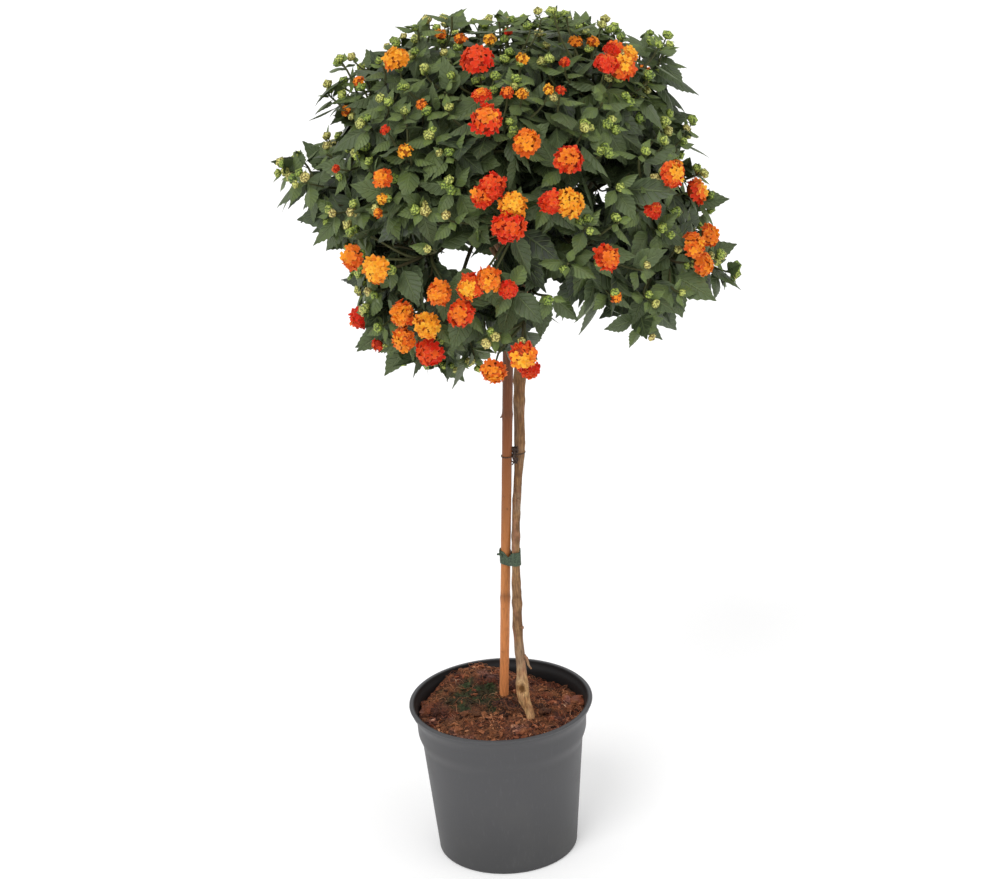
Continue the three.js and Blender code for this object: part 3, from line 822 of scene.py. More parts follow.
def pot():
    """A tapered bucket with a drawn-out collar that flares into a thin rolled lip, and drain holes."""
    edge = 0.0012
    outside = [
        (0.060, 0.0008), (0.074, 0.0008), (0.0745, 0), (POT_BASE_RADIUS - 0.0025, 0),
        *arc(POT_BASE_RADIUS - 0.0025, 0.0025, 0.0025, -60, 10, 4),
        *eased((POT_BODY_TOP_RADIUS - 0.0002, COLLAR_FOOT - 0.003),
               (COLLAR_RADIUS - 0.0005, COLLAR_SHOULDER + 0.003), 9),
        (COLLAR_RADIUS, FLARE_START - 0.003), (COLLAR_RADIUS + 0.0004, FLARE_START),
        (COLLAR_RADIUS + 0.0011, FLARE_START + 0.0026), (COLLAR_RADIUS + 0.0023, FLARE_START + 0.0054),
        (COLLAR_RADIUS + 0.0039, FLARE_START + 0.0086), (COLLAR_RADIUS + FLARE, LIP_UNDERSIDE - 0.0048),
        (COLLAR_RADIUS + FLARE + 0.0009, LIP_UNDERSIDE - 0.0020),
        (POT_RIM_RADIUS - 0.0012, LIP_UNDERSIDE - 0.0002),
        *arc(POT_RIM_RADIUS - 0.0013, POT_HEIGHT - 0.0015, 0.0013, -50, 80, 6),
        (LIP_INSIDE_RADIUS + 0.0022, POT_HEIGHT - 0.0002),
        *arc(LIP_INSIDE_RADIUS + edge, POT_HEIGHT - edge, edge, 90, 190, 4),
    ]
    inside = [
        (LIP_INSIDE_RADIUS - 0.0006, 0.1885), (LIP_INSIDE_RADIUS - 0.0020, 0.1855), (0.1006, 0.1815),
        (COLLAR_RADIUS - POT_WALL, 0.172),
        (COLLAR_RADIUS - 0.0006 - POT_WALL, COLLAR_SHOULDER),
        (POT_BODY_TOP_RADIUS - POT_WALL, COLLAR_FOOT),
        (0.0903, 0.094), (0.0860, 0.045), (POT_BASE_RADIUS - POT_WALL, 0.006),
        (0.0808, 0.003), (0.040, 0.003),
    ]
    shell = turned("pot", outside + inside, 144)
    count, radius, ring = DRAIN_HOLES.values()
    drills = []
    for i in range(count):
        angle = (i + 0.5) / count * math.tau
        place = (ring * math.cos(angle), ring * math.sin(angle), 0)
        drills.append(start("cylinder", "drill", vertices=20, radius=radius, depth=0.02, location=place))
    drill = join(drills, "drill")
    modify(shell, "BOOLEAN", object=drill, operation="DIFFERENCE", solver="EXACT")
    bpy.data.objects.remove(drill)
    smooth(shell, 30)
    finished(shell, "pot", "pot")


def mix_height(x, y):
    """The height of the potting mix's top, with its heap and its lumps."""
    reach = min(1, math.hypot(x, y) / MIX_RADIUS)
    dome = MIX_EDGE + (MIX_TOP - MIX_EDGE) * (1 - reach) ** 0.6
    heap = HEAP["height"] * math.exp(-((x - HEAP["x"]) ** 2 + (y - HEAP["y"]) ** 2) / HEAP["spread"] ** 2)
    lumps = noise.noise(Vector((x, y, 0)) * 55) * 0.0035 + noise.noise(Vector((x, y, 1)) * 160) * 0.0022
    return dome + heap + lumps


def mossy(x, y):
    """1 in the mossy patch, 0 outside it."""
    far = ((x - MOSS["x"]) / MOSS["half_width"]) ** 2 + ((y - MOSS["y"]) / MOSS["half_depth"]) ** 2
    ragged = far + noise.noise(Vector((x, y, 0)) * 60) * 1.3
    return min(1, max(0, 1.5 - 1.2 * ragged))


def chip_masters():
    """A few broken flakes of bark, a unit long."""
    masters = []
    for i in range(4):
        chip = start("cube", "chip", size=1)
        roughen(chip, lambda p: Vector((
            0.35 * noise.noise(p * 3 + UP * (7 * i)), 0.35 * noise.noise(p * 3 + UP * (9 * i + 3)), 0)))
        modify(chip, "BEVEL", width=0.09, segments=1, limit_method="NONE")
        chip.data.transform(Matrix.Diagonal((0.52, 0.13 + 0.08 * i, 0.11, 1)))
        masters.append(chip)
    return masters


def potting_mix():
    """The body of the mix with bark chips, coir fibres and moss tufts lying on it."""
    rings = [(0.0805, 0.0034), (POT_BODY_TOP_RADIUS - POT_WALL - 0.0004, COLLAR_FOOT),
             (COLLAR_RADIUS - POT_WALL - 0.0012, COLLAR_SHOULDER), (MIX_RADIUS + 0.0002, MIX_EDGE - 0.001)]
    steps = 34
    rings += [(MIX_RADIUS * (1 - i / steps) + 0.0002, MIX_EDGE) for i in range(steps)]
    body = turned("potting_mix", rings, 120)
    set_marks(body.data, {"shade": 0.35, "moss": 0})
    moss = body.data.attributes["moss"].data
    shade = body.data.attributes["shade"].data
    for i, point in enumerate(body.data.vertices):
        if point.co.z > MIX_EDGE - 0.0005:
            x, y = point.co.x, point.co.y
            point.co.z = mix_height(x, y) + 0.0022 * noise.noise(Vector((x, y, 2)) * 260)
            moss[i].value = mossy(x, y)
            shade[i].value = 0.30 + 0.25 * noise.noise(Vector((x, y, 4)) * 120)
    chance = random.Random(SEEDS["mix"])
    parts = [body]
    masters = chip_masters()
    thread = stick_master("thread", 6, 3)
    for master in (*masters, thread):
        set_marks(master.data, {"shade": 0, "moss": 0})

    def somewhere(inset):
        """A place on the mix, no nearer to its edge than inset."""
        radius = (MIX_RADIUS - inset) * math.sqrt(chance.random())
        angle = chance.random() * math.tau
        return radius * math.cos(angle), radius * math.sin(angle)

    for i in range(CHIPS):
        x, y = somewhere(0.002)
        size = chance.choice(CHIP_SIZES) * chance.uniform(0.8, 1.25)
        lean = Matrix.Rotation(chance.gauss(0, 0.6), 3, "X") @ Matrix.Rotation(chance.gauss(0, 0.5), 3, "Y")
        turn = Matrix.Rotation(chance.random() * math.tau, 3, "Z") @ lean
        place = Matrix.Translation((x, y, mix_height(x, y) + 0.0004)) @ turn.to_4x4() @ Matrix.Scale(size, 4)
        green = mossy(x, y) * (chance.random() < 0.85)
        parts.append(copy_of(masters[i % 4], place, shade=chance.betavariate(1.6, 2.0), moss=green))
    for x, y, size, tone in CLODS:
        clod = start("ico_sphere", "clod", subdivisions=3, radius=size)
        seed = Vector((x, y, 0)) * 900
        roughen(clod, lambda p: p * (0.9 * noise.noise(p * 110 + seed) + 0.5 * noise.noise(p * 340 + seed)))
        place = Matrix.Translation((x, y, mix_height(x, y) + size * 0.15))
        clod.data.transform(place @ Matrix.Diagonal((1.1, 1.1, 0.75, 1)))
        set_marks(clod.data, {"shade": tone, "moss": 0})
        parts.append(clod)
    for _ in range(THREADS):
        x, y = somewhere(0.004)
        way = Vector((chance.gauss(0, 1), chance.gauss(0, 1), 0)).normalized() * chance.uniform(0.006, 0.016)
        rise = chance.uniform(0.001, 0.006)
        points = []
        for step in range(4):
            share = step / 3
            px, py = x + way.x * share, y + way.y * share
            if math.hypot(px, py) > MIX_RADIUS - 0.001:
                px, py = px * 0.9, py * 0.9
            bend = Vector((chance.gauss(0, 0.001), chance.gauss(0, 0.001), rise * math.sin(share * 2.6)))
            points.append(Vector((px, py, mix_height(px, py))) + bend)
        thin = chance.uniform(0.00016, 0.00042)
        green = mossy(x, y) * (chance.random() < 0.7)
        tone = 0.25 + 0.75 * chance.betavariate(2.2, 1.8)
        parts.append(along(thread, flowing(points, 3), taper(thin, 0.6 * thin), shade=tone, moss=green))
    piece = join(parts, "potting_mix")
    for master in (*masters, thread):
        bpy.data.objects.remove(master)
    smooth(piece, 35)
    finished(piece, "mix", "potting_mix")


def trunk_path():
    return flowing(TRUNK_POINTS, 10)


def at_height(path, height):
    """The place on a rising path at a height."""
    low, high = 0.0, 1.0
    for _ in range(30):
        middle = (low + high) / 2
        low, high = (middle, high) if path.at(middle).z < height else (low, middle)
    return path.at(low)


def trunk_radius(height):
    """The girth table's value between its rows, with a swelling at each joint."""
    joints = sum(bell(height, joint, 0.006) for joint in TRUNK_JOINTS)
    for (low, narrow), (high, wide) in zip(TRUNK_GIRTH, TRUNK_GIRTH[1:]):
        if height <= high:
            share = (height - low) / (high - low)
            return narrow + (wide - narrow) * share * share * (3 - 2 * share) + 0.0006 * joints
    return TRUNK_GIRTH[-1][1] + 0.0006 * joints


def bark_ridges(path):
    """How far bark stands out at a place: fine ridges that follow the stem, lumps, and a rougher foot."""
    def push(place):
        centre = at_height(path, place.z)
        out = Vector((place.x - centre.x, place.y - centre.y, 0))
        if out.length < 1e-5:
            return Vector((0, 0, 0))
        out.normalize()
        ridge = noise.noise(Vector((out.x * 2.6, out.y * 2.6, place.z * 22)))
        lump = noise.noise(Vector((out.x * 1.3, out.y * 1.3, place.z * 48)))
        fine = noise.noise(Vector((out.x * 6, out.y * 6, place.z * 90)))
        rough = 1 + 1.2 * bell(place.z, 0.20, 0.025)
        knobs = max(0, noise.noise(Vector((out.x * 1.6, out.y * 1.6, place.z * 75))) - 0.3)
        return out * (ridge * 0.0004 + lump * 0.0006 + fine * 0.00035 * rough + knobs * 0.0020)
    return push


def trunk():
    """The woody stem, its pruned head, the ends of cut side shoots, a scar and a loose strip of bark."""
    path = trunk_path()
    top = TRUNK_HEAD.z + KNOB_RADIUS * 0.97
    rings = []
    steps = 260
    for i in range(steps + 1):
        height = TRUNK_POINTS[0][2] + (top - TRUNK_POINTS[0][2]) * i / steps
        knob = math.sqrt(max(0, KNOB_RADIUS ** 2 - (height - TRUNK_HEAD.z) ** 2))
        centre = at_height(path, height) if height < TRUNK_HEAD.z else TRUNK_HEAD
        stem = trunk_radius(height) if height < TRUNK_HEAD.z else 0.001
        rings.append((Vector((centre.x, centre.y, height)), max(stem, knob)))
    stem = ringed("trunk", rings, 28)
    scar = at_height(path, SCAR_HEIGHT) + Vector((-0.0005, -trunk_radius(SCAR_HEIGHT), 0))

    def sunk(place):
        """How deep the oval scar on the knob is at a place, from 0 to 1."""
        off = place - scar
        return 1 / (1 + math.hypot(off.x / 0.0040, off.z / 0.0054) ** 6) if off.y < 0.005 else 0

    roughen(stem, bark_ridges(path))
    set_marks(stem.data, {"scar": 0})
    for i, point in enumerate(stem.data.vertices):
        depth = sunk(point.co)
        ring = math.hypot((point.co.x - scar.x) / 0.0056, (point.co.z - scar.z) / 0.0074)
        rim = bell(ring, 1, 0.24) * (point.co.y < scar.y + 0.005)
        stem.data.attributes["scar"].data[i].value = depth
        point.co.y += 0.0016 * depth - 0.0008 * rim
    parts = [stem]
    stub = stick_master("stub", 6, 12)
    set_marks(stub.data, {"scar": 0})
    for height, azimuth in TRUNK_STUBS:
        root = at_height(path, height)
        angle = math.radians(azimuth)
        end = root + Vector((0.009 * math.cos(angle), 0.009 * math.sin(angle), 0.003))
        parts.append(along(stub, Path([root, end]), lambda s: 0.0034 - 0.0014 * min(1, s * 1.3)))
    peel = [(0.0045, -0.003, 0.006), (0.0078, -0.004, 0), (0.0092, -0.005, -0.007), (0.0122, -0.006, -0.011)]
    parts.append(strand(stub, at_height(path, PEEL_HEIGHT), peel, taper(0.0021, 0.0011)))
    bpy.data.objects.remove(stub)
    piece = join(parts, "trunk")
    smooth(piece, 50)
    finished(piece, "bark", "trunk")


def cane():
    """A straight bamboo cane with its raised joints and a small spur at the uppermost."""
    rings = []
    marks = []
    steps = 150
    for i in range(steps + 1):
        share = i / steps
        swell = sum(bell(share, joint, 0.008) for joint in CANE_JOINTS)
        groove = sum(bell(share, joint + 0.009, 0.003) for joint in CANE_JOINTS)
        radius = CANE_FOOT_RADIUS + (CANE_RADIUS - CANE_FOOT_RADIUS) * share
        rings.append((CANE_FOOT.lerp(CANE_TOP, share), radius + 0.0006 * swell - 0.0005 * groove))
        marks.append(min(1, groove + 0.4 * swell))
    rod = ringed("bamboo_cane", rings, 24)
    set_marks(rod.data, {"joint": 0})
    joint = rod.data.attributes["joint"].data
    for i, point in enumerate(rod.data.vertices):
        share = (point.co.z - CANE_FOOT.z) / (CANE_TOP.z - CANE_FOOT.z)
        joint[i].value = marks[round(share * steps)]
    roughen(rod, lambda p: Vector((noise.noise(Vector((p.x * 300, p.y * 300, p.z * 9))) * 0.00025, 0, 0)))
    stub = stick_master("spur", 5, 8)
    set_marks(stub.data, {"joint": 0})
    root = CANE_FOOT.lerp(CANE_TOP, CANE_JOINTS[-1])
    way = Vector((-0.0085, -0.001, -0.0035))
    spur = strand(stub, root, (way * 0.3 + UP * 0.010, way * 0.75, way), taper(0.0021, 0.0012), joint=0.9)
    bpy.data.objects.remove(stub)
    piece = join([rod, spur], "bamboo_cane")
    smooth(piece, 50)
    finished(piece, "cane", "bamboo_cane")


def stem_ends(height):
    """The middles of the cane and the trunk at a height."""
    share = (height - CANE_FOOT.z) / (CANE_TOP.z - CANE_FOOT.z)
    return CANE_FOOT.lerp(CANE_TOP, share), at_height(trunk_path(), height)


def loop(name, height, room, tall, thickness, squeeze, drop):
    """A band drawn round the trunk and the cane, pinched and drawn down where it crosses between them."""
    cane_middle, trunk_middle = stem_ends(height)
    share = (height - CANE_FOOT.z) / (CANE_TOP.z - CANE_FOOT.z)
    cane_side = CANE_FOOT_RADIUS + (CANE_RADIUS - CANE_FOOT_RADIUS) * share + room
    trunk_side = trunk_radius(height) + room
    apart = trunk_middle - cane_middle
    half = Vector((apart.x, apart.y, 0)).length / 2
    turn = Matrix.Rotation(math.atan2(apart.y, apart.x), 4, "Z")
    middle = (cane_middle + trunk_middle) / 2
    band = start("circle", name, vertices=96, radius=1, fill_type="NOTHING", location=(0, 0, -tall / 2))
    with editing(band, "EDGE"):
        for _ in range(6):
            bpy.ops.mesh.extrude_region_move(TRANSFORM_OT_translate={"value": (0, 0, tall / 6)})
    straight = math.radians(28)  # half of the part of the circle that becomes a straight side
    for point in band.data.vertices:
        angle = math.atan2(point.co.y, point.co.x)
        off = math.pi / 2 - abs(angle)
        side = math.copysign(1, angle)
        if abs(off) < straight:
            share = (off / straight + 1) / 2
            x = -half + 2 * half * share
            y = (cane_side + (trunk_side - cane_side) * share) * side
        else:
            turned_off = (abs(off) - straight) / (math.pi / 2 - straight) * math.pi / 2
            radius = trunk_side if off > 0 else cane_side
            x = math.copysign(half + radius * math.sin(turned_off), off)
            y = radius * math.cos(turned_off) * side
        pinch = bell(x, 0, 0.0040)
        ripple = noise.noise(Vector((x * 260, y * 260, point.co.z * 400))) * 0.0004
        z = point.co.z * (1 - 0.35 * pinch) - drop * pinch + drop * 0.4
        point.co = (x, y * (1 - squeeze * pinch) + ripple * side, z)
    modify(band, "SOLIDIFY", thickness=thickness, offset=1)
    band.data.transform(Matrix.Translation(Vector((middle.x, middle.y, height))) @ turn)
    with editing(band):
        bpy.ops.mesh.normals_make_consistent(inside=False)
    smooth(band, 40)
    return band


def green_band():
    """A soft green tie with its ends tucked behind the cane."""
    parts = [loop("green_band", BAND_HEIGHT, 0.0006, 0.0170, 0.0008, 0.12, 0.0040)]
    cane_middle, trunk_middle = stem_ends(BAND_HEIGHT)
    tail = stick_master("tail", 6, 6)
    end = [(-0.004, -0.006, 0.004), (-0.0075, -0.004, 0.0055), (-0.0100, -0.003, 0.0052)]
    upper = [(-0.0062, -0.005, 0.006), (-0.0068, -0.004, 0.0095), (-0.0064, -0.003, 0.0120)]
    corner = [(0.0045, -0.003, 0.006), (0.0053, -0.002, 0.0105), (0.0056, -0.001, 0.0145)]
    parts.append(strand(tail, cane_middle, end, taper(0.0016, 0.0004)))
    parts.append(strand(tail, cane_middle, upper, taper(0.0012, 0.0006)))
    parts.append(strand(tail, trunk_middle, corner, taper(0.0013, 0.0008)))
    bpy.data.objects.remove(tail)
    piece = join(parts, "green_band")
    smooth(piece, 50)
    finished(piece, "band", "green_band")


def wire_tie():
    """A thin dark wire round both stems, its ends twisted into a knot between them."""
    cane_middle, trunk_middle = stem_ends(WIRE_HEIGHT)
    parts = [loop("wire_tie", WIRE_HEIGHT, 0.0002, 0.0010, 0.0008, 0.1, 0)]
    rod = stick_master("rod", 14, 6)
    between = (cane_middle + trunk_middle) / 2 + Vector((0.0005, -0.006, 0))
    chance = random.Random(SEEDS["wire"])
    for _ in range(WIRE_TURNS):
        points = [between + Vector((chance.gauss(0, 0.0024), chance.gauss(0, 0.0015), 0.011 - 0.0052 * step))
                  for step in range(5)]
        parts.append(along(rod, flowing(points, 4), taper(0.0011, 0.0004)))
    bpy.data.objects.remove(rod)
    piece = join(parts, "wire_tie")
    smooth(piece, 50)
    finished(piece, "wire", "wire_tie")


# ---- 5. Leaves, buds and flowers -----------------------------------------------------------------------

LEAF_ROWS = 14
LEAF_STALK = 0.15  # of the blade's length
TOOTH_TIP, TOOTH_GAP = 1.07, 0.96  # how wide the blade is at a tooth and between two, of its smooth outline


def leaf_master(name, width, fold, bow):
    """A toothed blade of unit length on its stalk, along +Z with its upper side to -Y."""
    blade = start("grid", name, x_subdivisions=2, y_subdivisions=LEAF_ROWS, size=1,
                  location=(0, 0, 0.5), rotation=(math.pi / 2, 0, 0))
    with editing(blade, "VERT"):
        for row in range(LEAF_ROWS + 1):
            share = row / LEAF_ROWS
            tooth = row % 2
            outline = max(0.0, math.sin(math.pi * share ** 0.66)) ** 1.2
            pick(blade, lambda p: abs(p.z - share) < 0.01)
            half = width * outline * (TOOTH_TIP if tooth else TOOTH_GAP)
            bpy.ops.transform.resize(value=(half, 1, 1), center_override=(0, 0, share))
            if tooth:
                pick(blade, lambda p: abs(p.z - share) < 0.01 and abs(p.x) > 1e-3)
                bpy.ops.transform.translate(value=(0, 0, 0.022))
        for side in (1, -1):
            pick(blade, lambda p: p.x * side > 1e-4)
            bpy.ops.transform.rotate(value=-side * fold, orient_axis="Z", center_override=(0, 0, 0))
    set_marks(blade.data, {"under": 0})
    below = on_stage("below", blade.data.copy())
    for point in below.data.vertices:
        if abs(point.co.x) < 1e-4:
            point.co.y += 0.008
    set_marks(below.data, {"under": 1})
    with editing(below):
        bpy.ops.mesh.flip_normals()
    blade = join([blade, below], name)
    with editing(blade, "VERT"):
        bpy.ops.mesh.remove_doubles(threshold=1e-5)
    roughen(blade, lambda p: Vector((0, 0, LEAF_STALK)))
    set_marks(blade.data, {"youth": 0, "shade": 0})
    stalk = ringed("stalk", [(UP * (LEAF_STALK * 1.15 * i / 2), 0.016) for i in range(3)], 3)
    set_marks(stalk.data, {"under": 0.7, "youth": 0, "shade": 0})
    piece = join([blade, stalk], name)
    modify(piece, "SIMPLE_DEFORM", deform_method="BEND", deform_axis="X", angle=bow)
    smooth(piece, 35)
    return FINISHES["leaf"].on(piece)


def bud_master():
    """A ball of tight buds along +Z, of unit radius, with a bump at each of its twelve corners."""
    ball = start("ico_sphere", "bud", subdivisions=2, radius=1)

    def corner(place):
        return abs(place.z) > 0.99 or abs(abs(place.z) - 0.447) < 0.02

    set_marks(ball.data, {"tip": 0, "shade": 0})
    for i, point in enumerate(ball.data.vertices):
        if corner(point.co):
            ball.data.attributes["tip"].data[i].value = 1.0
    with editing(ball, "VERT"):
        pick(ball, lambda p: not corner(p))
        bpy.ops.transform.resize(value=(0.82, 0.82, 0.82), center_override=(0, 0, 0))
        pick(ball, lambda p: p.z < -0.2)
        bpy.ops.transform.resize(value=(0.7, 0.7, 0.6), center_override=(0, 0, 0))
    smooth(ball, 180)
    return FINISHES["bud"].on(ball)


def floret_master(name, cup):
    """One small flower along +Z: four round lobes about a throat, on a narrow tube, of unit radius."""
    floret = start("circle", name, vertices=16, radius=1, fill_type="NGON")
    with editing(floret):
        bpy.ops.mesh.extrude_region_move(TRANSFORM_OT_translate={"value": (0, 0, -0.6)})
        bpy.ops.transform.resize(value=(0.2, 0.2, 1), center_override=(0, 0, -0.6))
        pick(floret, lambda p: p.z > -0.01)
        bpy.ops.mesh.inset(thickness=0.74)
        bpy.ops.transform.translate(value=(0, 0, -0.12))

    def spoke(place):
        return round(math.degrees(math.atan2(place.y, place.x)) / 22.5) % 4

    with editing(floret, "VERT"):
        pick(floret, lambda p: abs(p.z) < 0.01 and spoke(p) == 0)
        bpy.ops.transform.resize(value=(0.52, 0.52, 1), center_override=(0, 0, 0))
        bpy.ops.transform.translate(value=(0, 0, -0.06))
        pick(floret, lambda p: abs(p.z) < 0.01 and spoke(p) == 2)
        bpy.ops.transform.resize(value=(1.06, 1.06, 1), center_override=(0, 0, 0))
        bpy.ops.transform.translate(value=(0, 0, cup))
        bpy.ops.mesh.select_all(action="SELECT")
        bpy.ops.mesh.normals_make_consistent(inside=False)
    set_marks(floret.data, {"ripe": 0, "heart": 0})
    for i, point in enumerate(floret.data.vertices):
        far = math.hypot(point.co.x, point.co.y)
        floret.data.attributes["heart"].data[i].value = 1.0 if far < 0.3 else 0.0
    smooth(floret, 60)
    return FINISHES["petal"].on(floret)


MASTERS = {
    "broad": leaf_master("broad", 0.60, 0.22, 0.5),
    "drooping": leaf_master("drooping", 0.55, 0.32, 1.0),
    "folded": leaf_master("folded", 0.54, 0.65, 0.7),
    "flat": leaf_master("flat", 0.58, 0.12, 0.2),
    "young": leaf_master("young", 0.62, 0.45, 0.6),
    "bud": bud_master(),
    "open": floret_master("open", -0.12),
    "cupped": floret_master("cupped", 0.28),
    "bent": floret_master("bent", -0.48),
}
FLORETS = ("open", "open", "cupped", "bent")


def make_sticks():
    """The straight sticks that stems and stalks are drawn from."""
    for name, steps, sides in (("stem", 9, 5), ("stalk", 3, 4)):
        master = stick_master(name, steps, sides)
        set_marks(master.data, {"age": 0})
        smooth(master, 60)
        MASTERS[name] = FINISHES["twig"].on(master)


make_sticks()

# How ripe the florets of each kind of head are, from its middle to its edge.
RIPENESS = {
    "red": (0.70, 0.80, 0.92, 1.0),
    "flame": (0.40, 0.52, 0.80, 0.95),
    "orange": (0.28, 0.36, 0.46, 0.56),
    "yellow": (0.04, 0.10, 0.20, 0.30),
    "mixed": (0.02, 0.12, 0.62, 0.86),
    "young": (0.0, 0.04, 0.16, 0.24),
}
FLORET_RINGS = [(1, 0), (6, 30), (10, 57), (13, 85)]
YOUNG_RINGS = [(1, 0), (5, 45), (6, 85)]
SMALL_HEAD = 0.018  # heads smaller than this across have only the few florets of the young rings


def flower_head(name, base, out, diameter, kind, chance):
    """A dome of florets on its stalk, which starts at base and points out."""
    size = diameter / HEAD_SIZE
    stalk_end = base + out * (HEAD_STALK * size)
    middle = base + out * ((HEAD_STALK + 0.0035) * size)
    stalk = Path([base, stalk_end + out * 0.004 * size])
    parts = [along(MASTERS["stalk"], stalk, taper(0.0011, -0.0004), age=0.1)]
    turn = UP.rotation_difference(out).to_matrix().to_4x4()
    small = diameter < SMALL_HEAD
    rings = YOUNG_RINGS if small else FLORET_RINGS
    dome = diameter * 0.50
    limb = diameter * 0.19 if small else 0.0057 * size ** 0.4
    sides = [chance.uniform(0.84, 1.08) for _ in range(5)]
    for number, (count, polar) in enumerate(rings):
        for i in range(count):
            angle = (i + 0.5 * number) / count * math.tau + chance.gauss(0, 0.10)
            lean = math.radians(polar + chance.gauss(0, 6))
            level = math.sin(lean)
            way = Vector((level * math.cos(angle), level * math.sin(angle), math.cos(lean) * 0.86))
            share = angle / math.tau * len(sides)
            far = sides[int(share) % 5] * (1 - share % 1) + sides[int(share + 1) % 5] * (share % 1)
            far = (far * level + 1 - level) * chance.uniform(0.88, 1.06)
            spot = Matrix.Translation(middle) @ turn @ Matrix.Translation(way * dome * far)
            facing = UP.rotation_difference(way + Vector((chance.gauss(0, 0.28), chance.gauss(0, 0.28), 0.1)))
            spin = Matrix.Rotation(chance.random() * math.tau, 4, "Z")
            scale = Matrix.Scale(limb * chance.uniform(0.82, 1.15), 4)
            place = spot @ facing.to_matrix().to_4x4() @ spin @ scale
            ripe = min(1, max(0, RIPENESS[kind][number] + chance.gauss(0, 0.09)))
            parts.append(copy_of(MASTERS[chance.choice(FLORETS)], place, ripe=ripe))
    # A dark ball under the florets, painted as the shade in the gaps between them.
    core = start("uv_sphere", "core", segments=12, ring_count=8, radius=dome * 0.85)
    set_marks(core.data, {"ripe": RIPENESS[kind][2], "heart": 2})
    core.data.transform(Matrix.Translation(middle) @ turn @ Matrix.Diagonal((1, 1, 0.8, 1)))
    parts.append(FINISHES["petal"].on(core))
    return join(parts, name)


# ---- 6. Crown ------------------------------------------------------------------------------------------

def turn_between(a, b):
    """The smaller angle between two azimuths, in degrees."""
    return abs((a - b + 180) % 360 - 180)


def plain_radius(height):
    above = height > CROWN["widest_at"]
    share = abs(height - CROWN["widest_at"]) / (CROWN["rise"] if above else CROWN["drop"])
    return CROWN["radius"] * max(0.0, 1 - share ** CROWN["fullness"]) ** (1 / CROWN["fullness"])


def crown_radius(azimuth, height):
    """The dome's radius, with its bulges."""
    push = sum(size * bell(turn_between(azimuth, middle), 0, wide) * bell(height, level, tall)
               for middle, level, wide, tall, size in BULGES)
    return plain_radius(height) + push


def polar(azimuth, radius, height):
    angle = math.radians(azimuth)
    return Vector((CROWN["x"] + radius * math.cos(angle), radius * math.sin(angle), height))


def outward(azimuth, height):
    """Out of the dome, and a little upwards."""
    step = 0.004
    slope = (plain_radius(height - step) - plain_radius(height + step)) / (2 * step)
    angle = math.radians(azimuth)
    return Vector((math.cos(angle), math.sin(angle), slope + 0.25)).normalized()


def shoot_path(limb, azimuth, height, reach):
    """The stem of a shoot, from its limb's fork to its tip."""
    fork = polar(*LIMBS[limb])
    out = outward(azimuth, height)
    tip = polar(azimuth, plain_radius(height), height) + out * (reach - TIP_INSET)
    span = (tip - fork).length
    first = ((tip - fork).normalized() + UP * 0.25).normalized()
    return arched(fork, fork + first * span * 0.35, tip - out * span * 0.3, tip)


def side_path(parents, azimuth, height, inset):
    """A twig from the handiest place on a shoot to a tip on the dome, and the number of that shoot."""
    out = outward(azimuth, height)
    tip = polar(azimuth, crown_radius(azimuth, height), height) - out * inset
    best = None
    for number, parent in enumerate(parents):
        for share in TWIG_ROOTS:
            root = parent.at(share)
            gap = tip - root
            cost = gap.length + 0.05 * (1 - gap.normalized().dot(parent.way(share)))
            cost += 0.05 * (1 - gap.normalized().dot(out)) + (0.08 if gap.length < 0.03 else 0)
            if best is None or cost < best[0]:
                best = (cost, number, root, parent.way(share))
    _, number, root, way = best
    span = (tip - root).length
    path = arched(root, root + way * span * 0.3, tip - out * span * 0.35, tip)
    return path, number


def lowest(azimuth):
    """How low a shoot's tip may hang at an azimuth."""
    for first, last, height in BOTTOM_EDGE:
        if first <= azimuth % 360 <= last:
            return height
    return BOTTOM


def fill_tips(taken, count, spacing, inset, chance):
    """Tips spread evenly over the dome by a golden spiral, apart from those too near a taken one."""
    (low, high), steps = TIP_SPAN, 200
    heights = [low + (high - low) * i / steps for i in range(steps + 1)]
    areas = [0.0]
    for a, b in zip(heights, heights[1:]):
        strip = math.hypot(b - a, plain_radius(b) - plain_radius(a))
        areas.append(areas[-1] + strip * (plain_radius(a) + plain_radius(b)) / 2)
    tips = []
    for i in range(count):
        mark = areas[-1] * (i + 0.5) / count
        k = bisect.bisect_left(areas, mark)
        height = heights[k] + chance.gauss(0, 0.004)
        azimuth = (i * GOLDEN_ANGLE + chance.gauss(0, 3)) % 360
        if height < lowest(azimuth):
            continue
        point = polar(azimuth, crown_radius(azimuth, height) - inset, height)
        room = spacing * (TOP_SPACING if height > DENSE_ABOVE else 1)
        if all((point - other).length > room for other in taken):
            taken.append(point)
            tips.append((azimuth, height))
    return tips


def in_light_gap(point, share=1):
    """Whether a point lies on a line of sight through a gap in the foliage, or through that share of it."""
    for middle, half_width, half_height in LIGHT_GAPS:
        sight = (middle - CAMERA["place"]).normalized()
        away = point - middle
        away -= sight * away.dot(sight)
        height = away.dot(UP) / math.cos(CAMERA["pitch"])
        if (away.x / half_width) ** 2 + (height / half_height) ** 2 < share ** 2:
            return True
    return False


def in_the_way(path):
    """Whether a twig crosses a light gap."""
    return any(in_light_gap(point, 0.6) for point in path.points)


# Pairs of leaves below a tip, the youngest first: how far below, how long, how much they rise along the
# stem, how much they hang, and how young they are.
LEAF_PAIRS = [
    (0.002, 0.017, 0.85, 0.00, 0.90),
    (0.008, 0.029, 0.60, 0.20, 0.60),
    (0.019, 0.043, 0.50, 0.50, 0.32),
    (0.035, 0.051, 0.35, 0.85, 0.12),
    (0.056, 0.056, 0.25, 1.05, 0.03),
    (0.080, 0.057, 0.20, 1.15, 0),
    (0.106, 0.055, 0.15, 1.20, 0),
]
OLD_LEAVES = ("broad", "drooping", "folded", "flat", "broad")


